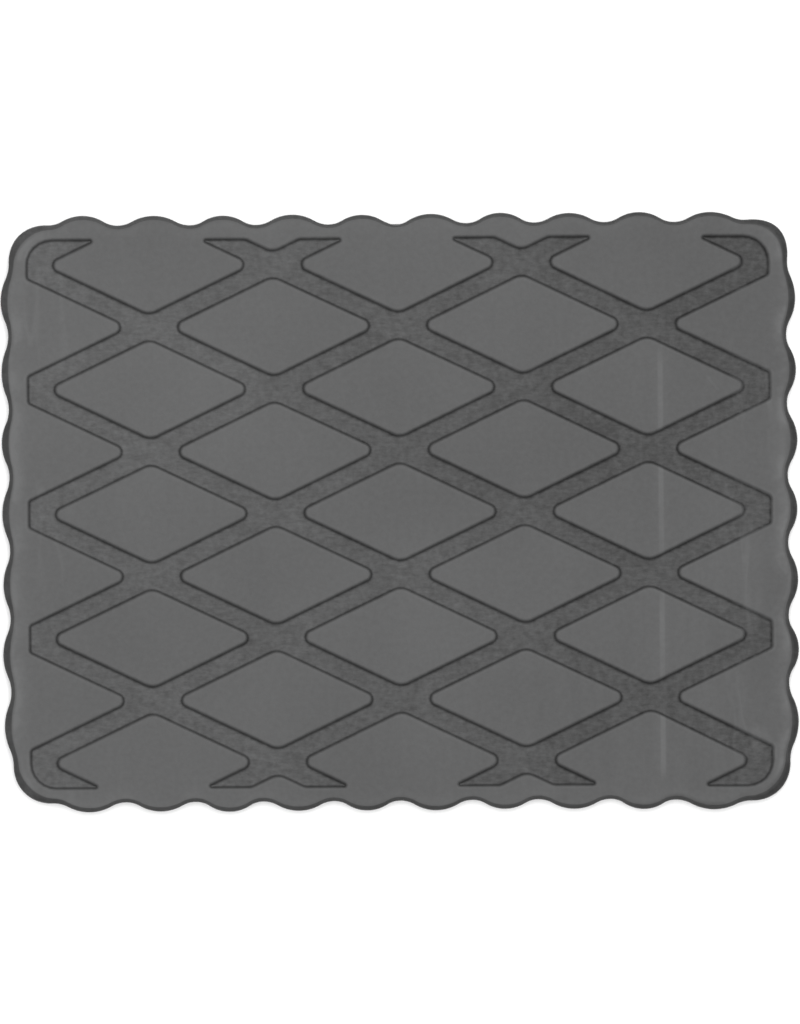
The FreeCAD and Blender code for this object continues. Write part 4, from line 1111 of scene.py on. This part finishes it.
@dataclass
class CordGland:
    """The cord gland, whose section is an upright circle with a flat let into top and foot.

    Attributes:
        centre: Height of the bore's axis.
        flat: Half the flat of its body.
        radius: Half the body's height.
        neck: Half the flat and half the height where it passes the junction box's wall.
        collar: Half the height of the collar inside the box.
        collar_slack: How much wider the collar's half is than its node's.
        wall: Thickness of the box's wall.
        bore: The bore's radius.
        lip: Chamfer of the edges.
        break_edge: How far from an edge the bend of its chamfer lies.
        points: Points round a section.
    """

    centre: float
    flat: float = 2.9
    radius: float = 4.6
    neck: Pair = (2.4, 3.6)
    collar: float = 4.0
    collar_slack: float = 0.1
    wall: float = 1.0
    bore: float = 3.1
    lip: float = 0.5
    break_edge: float = 0.15
    points: int = 64

    def rings(self, sections: Sequence[Triple]) -> Array:
        """Sections along Y.

        At an angle a, x = r cos a + f tanh(6 cos a) and z = r sin a, with f the flat.

        Args:
            sections: For each, its place along Y, its flat and its radius.

        Returns:
            The rings, (sections, points, 3).
        """
        angle = np.linspace(0, 2 * math.pi, self.points, endpoint=False) + 0.5 / self.points
        along, flat, radius = (np.array(column)[:, None] for column in zip(*sections))
        x = radius * np.cos(angle) + flat * np.tanh(6 * np.cos(angle))
        z = self.centre + radius * np.sin(angle)
        return np.stack([x, np.broadcast_to(along, x.shape), z], axis=-1)

    def mesh(self) -> bpy.types.Mesh:
        """Collar, neck, body and bore, one skin that closes on itself."""
        (low, front, _), (high, back, _) = span("cord_gland")
        rear = span("junction_base")[1][1]
        lip, broken, bore, tall = self.lip, self.break_edge, self.bore, self.collar
        wide = (high - low) / 2 - tall + self.collar_slack
        inner, body = rear - self.wall, self.radius
        sections = [
            (front, 0.0, bore + lip), (front, wide, tall - lip), (front + lip, wide, tall),
            (inner - lip, wide, tall), (inner, wide, tall - lip), (inner, *self.neck),
            (rear, *self.neck), (rear, self.flat, body - lip), (rear + lip, self.flat, body),
            (back - lip, self.flat, body), (back - broken, self.flat, body - broken),
            (back, self.flat, body - lip), (back, 0.0, bore + lip),
            (back - broken, 0.0, bore + broken), (back - lip, 0.0, bore),
            (front + lip, 0.0, bore), (front + broken, 0.0, bore + broken)]
        parts = MeshParts()
        parts.skin(self.rings(sections), closed=True)
        return parts.mesh("cord_gland_skin")


@dataclass
class Hollows:
    """The rooms that the covers leave for the heater, the junction box and the gland.

    Attributes:
        parting: Height where the covers meet.
        clearance: Rubber to the pieces in these rooms.
        side_slack: Rubber to the edges of the heater's sheets.
        radii: Upright edges of the heater's, the junction box's and the rivet's room.
        past: How far a cutter runs past the face that it opens.
        run_out: How far the gland's seat is cut past the gland.
    """

    parting: float
    clearance: float = 0.12
    side_slack: float = 1.0
    radii: Triple = (14.0, 2.6, 2.7)
    past: float = 1.0
    run_out: float = 12.0

    def heater(self) -> bpy.types.Mesh:
        """The shallow cavity, as long and wide as the felt and deep as the bottom of it."""
        low, high = span("insulation_felt")
        slack = np.array([self.side_slack, self.side_slack, 0.0])
        high[2] = self.parting + self.past
        return block("heater_room", low - slack, high + slack, self.radii[0])

    def junction(self) -> bpy.types.Mesh:
        """The pocket for the junction box, from its base to its lid."""
        low, high = span("junction_base", "junction_lid")
        return block("junction_room", low - self.clearance, high + self.clearance, self.radii[1])

    def rivet(self) -> bpy.types.Mesh:
        """The hollow over the rivet's head."""
        low, high = span("earth_rivet")
        return block("rivet_room", low - self.clearance, high + self.clearance, self.radii[2])

    def seat(self, gland: CordGland) -> bpy.types.Mesh:
        """The seat of the gland, run out through the rim."""
        section = (gland.flat, gland.radius + self.clearance)
        rings = gland.rings([(span("junction_base")[1][1] - self.past, *section),
                             (span("cord_gland")[1][1] + self.run_out, *section)])
        parts = MeshParts()
        parts.skin(rings)
        for ring in rings:
            parts.add(ring, fan(len(ring)))
        return parts.mesh("gland_room")


@dataclass
class Covers:
    """The two rubber covers and the gland that they clamp.

    Attributes:
        rim: Their outline.
        pads: The top's pattern.
        hollows: The rooms inside.
        gland: The gland.
        height: The mat's height.
        seam: Radius of the edges that meet at the parting line.
        lip: How far in from the rim the skin of the parting faces starts.
        shoulder: How far the rim draws in up to the shoulder, and the shoulder's height.
        shoulder_radii: Rounding of the shoulder's foot and of its crown.
        crown_rings: How far in from the crown the skin's last three rings lie.
        foot: How far the rim draws in at the underside, and where the skin there ends.
        foot_radius: Rounding of the underside's edge.
        rim_light_and_wear: Inset, width and strength of the pale and dark lines along the rim: the
            pale ones a painted highlight that is partly edge wear, the dark ones, of negative
            strength, painted shade.
        pad_wear: Width and strength of the worn line along a pad's edge.
        groove_pitch: Drain groove to drain groove, underneath.
        groove_width: Width of a groove.
        groove_depth: Depth of a groove.
        groove_border: Plain border round the grooves, from the overall size.
        groove_edge: How far the skin of a groove's edge runs on, and the edge's rounding.
        groove_end: A groove end's radius, as a share of half its width.
        spacing: Gap between the points inside the level faces of the top.
    """

    rim: Rim
    pads: PadPattern
    hollows: Hollows
    gland: CordGland
    height: float
    seam: float = 0.4
    lip: float = 1.2
    shoulder: Pair = (0.4, 3.6)
    shoulder_radii: Pair = (3.0, 0.9)
    crown_rings: Triple = (1.1, 2.3, 3.7)
    foot: Pair = (0.6, 3.4)
    foot_radius: float = 1.4
    rim_light_and_wear: tuple[Triple, ...] = ((5.4, 1.7, 0.7), (9.0, 4.5, 0.35), (0.9, 1.0, -0.9),
                                    (2.4, 1.5, -0.9))
    pad_wear: Pair = (0.9, 0.3)
    groove_pitch: float = 16.0
    groove_width: float = 4.0
    groove_depth: float = 0.8
    groove_border: float = 31.7
    groove_edge: Pair = (0.9, 0.3)
    groove_end: float = 0.98
    spacing: float = 7.0

    def build(self) -> None:
        """Builds and places the covers and the gland."""
        step = (self.pads.floor + self.height) / 2 * MM
        top = MouldedRubber("top_rubber", step_height=step)
        place_piece(self.top_cover(), top.material(), "top_cover")
        base = MouldedRubber("bottom_rubber", step_height=-self.height * MM, seed=0.7)
        place_piece(self.bottom_cover(), base.material(), "bottom_cover")
        soft = Finish("gland_rubber", (0.030, 0.030, 0.031), (0.018, 0.018, 0.018), Grain.CLOUD,
                      900.0, 0.00002, (0.42, 0.58))
        place_piece(self.gland.mesh(), soft.material(), "cord_gland")

    def top_cover(self) -> bpy.types.Mesh:
        """The top cover: pads, channels, shoulder and wall, down to the parting line."""
        parting, top, crown = self.hollows.parting, self.height, self.rim.crown
        drawn, drop = self.shoulder
        first, *others = ((crown + gap, top) for gap in self.crown_rings)
        profile = rounded_profile(
            [(self.lip, parting), (0.0, parting), (drawn, top - drop), (crown, top), first],
            (self.seam, *self.shoulder_radii))
        rim = swept(self.rim.loop, np.concatenate([profile, others]))
        surround, pad, wall = self.pads.surround(), self.pads.pad(), self.pads.wall()
        edge = swept(surround.offset, wall)
        centres = lift(self.pads.centres(), 0.0)
        all_pads = swept(pad.offset, wall * [-1, 1])[None] + centres[:, None, None, :]
        parts = MeshParts()
        for rings in (rim, edge, *all_pads):
            parts.skin(rings)
        parts.flat([edge[0, :, :2], *all_pads[:, 0, :, :2]], self.pads.floor, self.spacing)
        parts.flat([rim[-1, :, :2], edge[-1, :, :2], *all_pads[:, -1, :, :2]], top, self.spacing)
        parts.flat([rim[0, :, :2]], parting, 4 * self.spacing)
        mesh = parts.mesh("top_cover_skin")
        Lie(self.height * MM).settle(mesh)
        hollows = self.hollows
        mesh = carved(mesh, [hollows.junction(), hollows.rivet(), hollows.seat(self.gland)])
        brink = pad.offset(-self.pads.brink)
        brinks = [surround.offset(self.pads.brink), *(brink + centre[:2] for centre in centres)]
        # Painted highlight, partly edge wear, and painted shade along the rim, and wear along the
        # pads' edges.
        mark_wear_and_light(mesh, [*((self.rim.loop(inset), *line) for inset, *line in self.rim_light_and_wear),
                   *((loop, *self.pad_wear) for loop in brinks)])
        return mesh

    def bottom_cover(self) -> bpy.types.Mesh:
        """The bottom cover: wall, drain grooves and the rooms inside."""
        parting, depth, (drawn, end) = self.hollows.parting, self.groove_depth, self.foot
        profile = rounded_profile([(self.lip, parting), (0.0, parting), (drawn, 0.0), (end, 0.0)],
                                  (self.seam, self.foot_radius))
        rim = swept(self.rim.loop, profile)
        reach, edge = self.groove_edge
        wall = rounded_profile([(-reach, depth), (0.0, depth), (0.0, 0.0), (reach, 0.0)],
                               (edge, edge), steps=3)
        grooves = [swept(groove.offset, wall) for groove in self.grooves()]
        parts = MeshParts()
        for rings in (rim, *grooves):
            parts.skin(rings)
        parts.flat([rings[0, :, :2] for rings in grooves], depth, 4 * self.spacing)
        parts.flat([rings[-1, :, :2] for rings in (rim, *grooves)], 0.0, 2 * self.spacing)
        parts.flat([rim[0, :, :2]], parting, 4 * self.spacing)
        mesh = parts.mesh("bottom_cover_skin")
        Lie(self.height * MM).settle(mesh)
        hollows = self.hollows
        return carved(mesh, [hollows.heater(), hollows.junction(), hollows.seat(self.gland)])

    def grooves(self) -> list[RoundedLoop]:
        """Outlines of the drain grooves, which stop short of the junction box."""
        reach = self.rim.half - self.groove_border
        radius = self.groove_width / 2
        box_low, box_high = span("junction_base")
        count = int((reach[0] - radius) / self.groove_pitch + 0.5)
        loops = []
        for number in range(-count, count):
            x = (number + 0.5) * self.groove_pitch
            under_box = abs(x) < box_high[0] + self.groove_pitch / 2
            high = box_low[1] - self.groove_pitch if under_box else reach[1]
            corners = np.array([[x - radius, -reach[1]], [x + radius, -reach[1]],
                                [x + radius, high], [x - radius, high]])
            loops.append(RoundedLoop(corners, np.full(4, radius * self.groove_end), steps=4,
                                     spacing=20.0))
        return loops


@dataclass
class Heater:
    """Finishes for the frame's own pieces between and inside the covers."""

    nodes: dict

    def finishes(self) -> dict[Finish, tuple[str, ...]]:
        """Each finish with words from the names of the nodes that it dresses."""
        cloud, brushed, fibre, wound = Grain
        black, ash = (0.020, 0.020, 0.022), (0.045, 0.045, 0.050)
        lead = (brushed, 900.0, 0.00001, (0.34, 0.48))
        return {
            Finish("felt", (0.80, 0.77, 0.69), (0.58, 0.55, 0.47), fibre, 900.0, 0.00025,
                   (0.86, 0.96)): ("felt",),
            Finish("glass_net", (0.86, 0.86, 0.80), (0.60, 0.60, 0.52), wound, 700.0, 0.00010,
                   (0.42, 0.60), coat=0.3): ("scrim",),
            Finish("resistance_wire", (0.62, 0.58, 0.53), (0.36, 0.33, 0.30), wound, 900.0,
                   0.00004, (0.28, 0.42), metal=1.0): ("heating_core",),
            Finish("red_silicone", (0.50, 0.060, 0.040), (0.34, 0.035, 0.025), cloud, 500.0,
                   0.00002, (0.38, 0.52)): ("heating_jacket",),
            Finish("film_tape", (0.72, 0.50, 0.16), (0.52, 0.33, 0.09), brushed, 420.0, 0.00003,
                   (0.16, 0.30), coat=0.6): ("tape",),
            Finish("rolled_foil", (0.88, 0.88, 0.89), (0.66, 0.67, 0.69), brushed, 700.0,
                   0.00002, (0.20, 0.36), metal=1.0): ("foil",),
            Finish("crimp_tin", (0.68, 0.69, 0.71), (0.45, 0.46, 0.48), cloud, 1500.0, 0.00003,
                   (0.26, 0.44), metal=1.0): ("crimp", "terminal"),
            Finish("shrink_sleeve", ash, black, cloud, 1100.0, 0.00003,
                   (0.46, 0.62)): ("joint_sleeve", "cord_sleeve"),
            Finish("copper", (0.82, 0.43, 0.27), (0.55, 0.25, 0.15), wound, 1800.0, 0.00003,
                   (0.22, 0.36), metal=1.0): ("conductor", "link"),
            Finish("black_lead", ash, black, *lead): ("live_lead_jacket",),
            Finish("white_lead", (0.80, 0.80, 0.77), (0.66, 0.66, 0.63), *lead):
                ("neutral_lead_jacket",),
            Finish("green_lead", (0.030, 0.27, 0.070), (0.015, 0.17, 0.040), *lead):
                ("earth_lead_jacket",),
            Finish("cutout_case", (0.70, 0.64, 0.50), (0.48, 0.43, 0.33), brushed, 1600.0,
                   0.00002, (0.26, 0.40), metal=1.0): ("thermal_cutout",),
            Finish("woven_sleeve", (0.82, 0.79, 0.68), (0.58, 0.55, 0.45), wound, 2000.0,
                   0.00006, (0.50, 0.66)): ("cutout_sleeve",),
            Finish("rivet_brass", (0.78, 0.58, 0.27), (0.56, 0.40, 0.17), cloud, 1800.0,
                   0.00002, (0.24, 0.38), metal=1.0): ("rivet",),
            Finish("moulded_nylon", (0.055, 0.055, 0.060), (0.035, 0.035, 0.038), cloud, 1600.0,
                   0.00004, (0.46, 0.60)): ("junction_base", "junction_lid"),
            Finish("soft_seal", (0.16, 0.16, 0.17), (0.11, 0.11, 0.11), cloud, 1200.0, 0.00003,
                   (0.62, 0.78)): ("gasket",),
            Finish("zinc_screw", (0.66, 0.67, 0.70), (0.46, 0.47, 0.50), brushed, 2200.0,
                   0.00002, (0.24, 0.38), metal=1.0): ("screws",),
        }

    def dress(self) -> None:
        """Gives every node that these finishes name its material."""
        for finish, words in self.finishes().items():
            material = finish.material()
            for name, node in self.nodes.items():
                if any(word in name for word in words):
                    node.data.materials.clear()
                    node.data.materials.append(material)
                    LOG.info("%s: %s", name, finish.name)


# ---- studio


@dataclass
class Studio:
    """Pale floor, soft lights and a camera high above the mat. Lengths are in metres.

    Attributes:
        height: The height of the pads.
        frame_height: Height of what the camera sees.
        aim: Where the camera stands over the mat.
        lens: Focal length, long so that the rim is seen from straight above, in millimetres.
        sensor: The sensor's longer side, in millimetres.
        tilt: The mat's turn in the picture, in degrees.
        far: How far the camera sees.
        reach: Half the floor's side.
        drop: How far the floor lies below the mat.
        surround: Strength of the even light from all sides.
    """

    height: float
    frame_height: float = 0.7835
    aim: Pair = (0.0001, 0.0001)
    lens: float = 320.0
    sensor: float = 36.0
    tilt: float = 0.5
    far: float = 100.0
    reach: float = 30.0
    drop: float = 0.0002
    surround: float = 0.50

    def build(self) -> None:
        """Builds the floor, the lights, the world and the camera."""
        self.floor()
        self.world()
        self.light("overhead_light", (0.0, 0.1, 4.6), (6.0, 6.0), 310.0)
        self.light("top_light", (0.6, 1.7, 2.2), (2.2, 1.4), 30.0)
        self.camera()
        settings = bpy.context.scene.view_settings
        settings.view_transform = "Standard"
        settings.look = "None"

    def floor(self) -> None:
        """A wide pale floor with the faintest tooth."""
        mesh = bpy.data.meshes.new("studio_floor")
        turns = ((-1, -1), (1, -1), (1, 1), (-1, 1))
        corners = [(x * self.reach, y * self.reach, 0) for x, y in turns]
        mesh.from_pydata(corners, [], [(0, 1, 2, 3)])
        graph = Graph("pale_floor")
        tooth = graph.noise(90.0, 3.0)
        colour = graph.blend(tooth, grey(0.86), grey(0.90))
        mesh.materials.append(graph.finish(Base_Color=colour, Roughness=0.9,
                                           Normal=graph.bump(tooth, 0.0001)))
        floor = bpy.data.objects.new("studio_floor", mesh)
        floor.location.z = -self.drop
        bpy.context.scene.collection.objects.link(floor)
        floor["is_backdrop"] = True

    def world(self) -> None:
        """An even pale surround."""
        world = bpy.data.worlds.new("surround")
        world.use_nodes = True
        background = world.node_tree.nodes["Background"]
        background.inputs["Color"].default_value = (1.0, 1.0, 1.0, 1.0)
        background.inputs["Strength"].default_value = self.surround
        bpy.context.scene.world = world

    def light(self, name: str, place: Triple, size: Pair, power: float) -> None:
        """A soft box that faces the mat.

        Args:
            name: The light's name.
            place: Where it stands.
            size: Its width and height.
            power: Its power, in watts.
        """
        lamp = bpy.data.lights.new(name, "AREA")
        lamp.shape = "RECTANGLE"
        lamp.size, lamp.size_y = size
        lamp.energy = power
        holder = bpy.data.objects.new(name, lamp)
        holder.location = place
        holder.rotation_euler = (-holder.location).to_track_quat("-Z", "Y").to_euler()
        holder.visible_camera = False
        bpy.context.scene.collection.objects.link(holder)

    def camera(self) -> None:
        """A long lens that looks straight down, turned a little."""
        lens = bpy.data.cameras.new("camera")
        lens.lens = self.lens
        lens.sensor_width = self.sensor
        lens.clip_end = self.far
        camera = bpy.data.objects.new("camera", lens)
        distance = self.frame_height * self.lens / self.sensor
        camera.location = (*self.aim, self.height + distance)
        camera.rotation_euler = (0, 0, math.radians(-self.tilt))
        bpy.context.scene.collection.objects.link(camera)
        bpy.context.scene.camera = camera


def corners_of(box: Sequence[Sequence[float]]) -> list[list[float]]:
    """A box's two corners as plain lists."""
    return [[float(value) for value in corner] for corner in box]


def main() -> None:
    """Builds the mat round its frame and reports each piece."""
    logging.basicConfig(level=logging.INFO, format="%(name)s %(message)s")
    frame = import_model()
    cad_box = corners_of(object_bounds())
    low, high = (np.array(corner) / MM for corner in cad_box)
    half, height = (high - low)[:2] / 2, float(high[2])
    parting = float(span("top_cover")[0][2])
    Covers(Rim(half), PadPattern(half, height), Hollows(parting), CordGland(parting),
           height).build()
    Heater(frame["nodes"]).dress()
    Studio(height * MM).build()


if __name__ == "__main__":
    main()
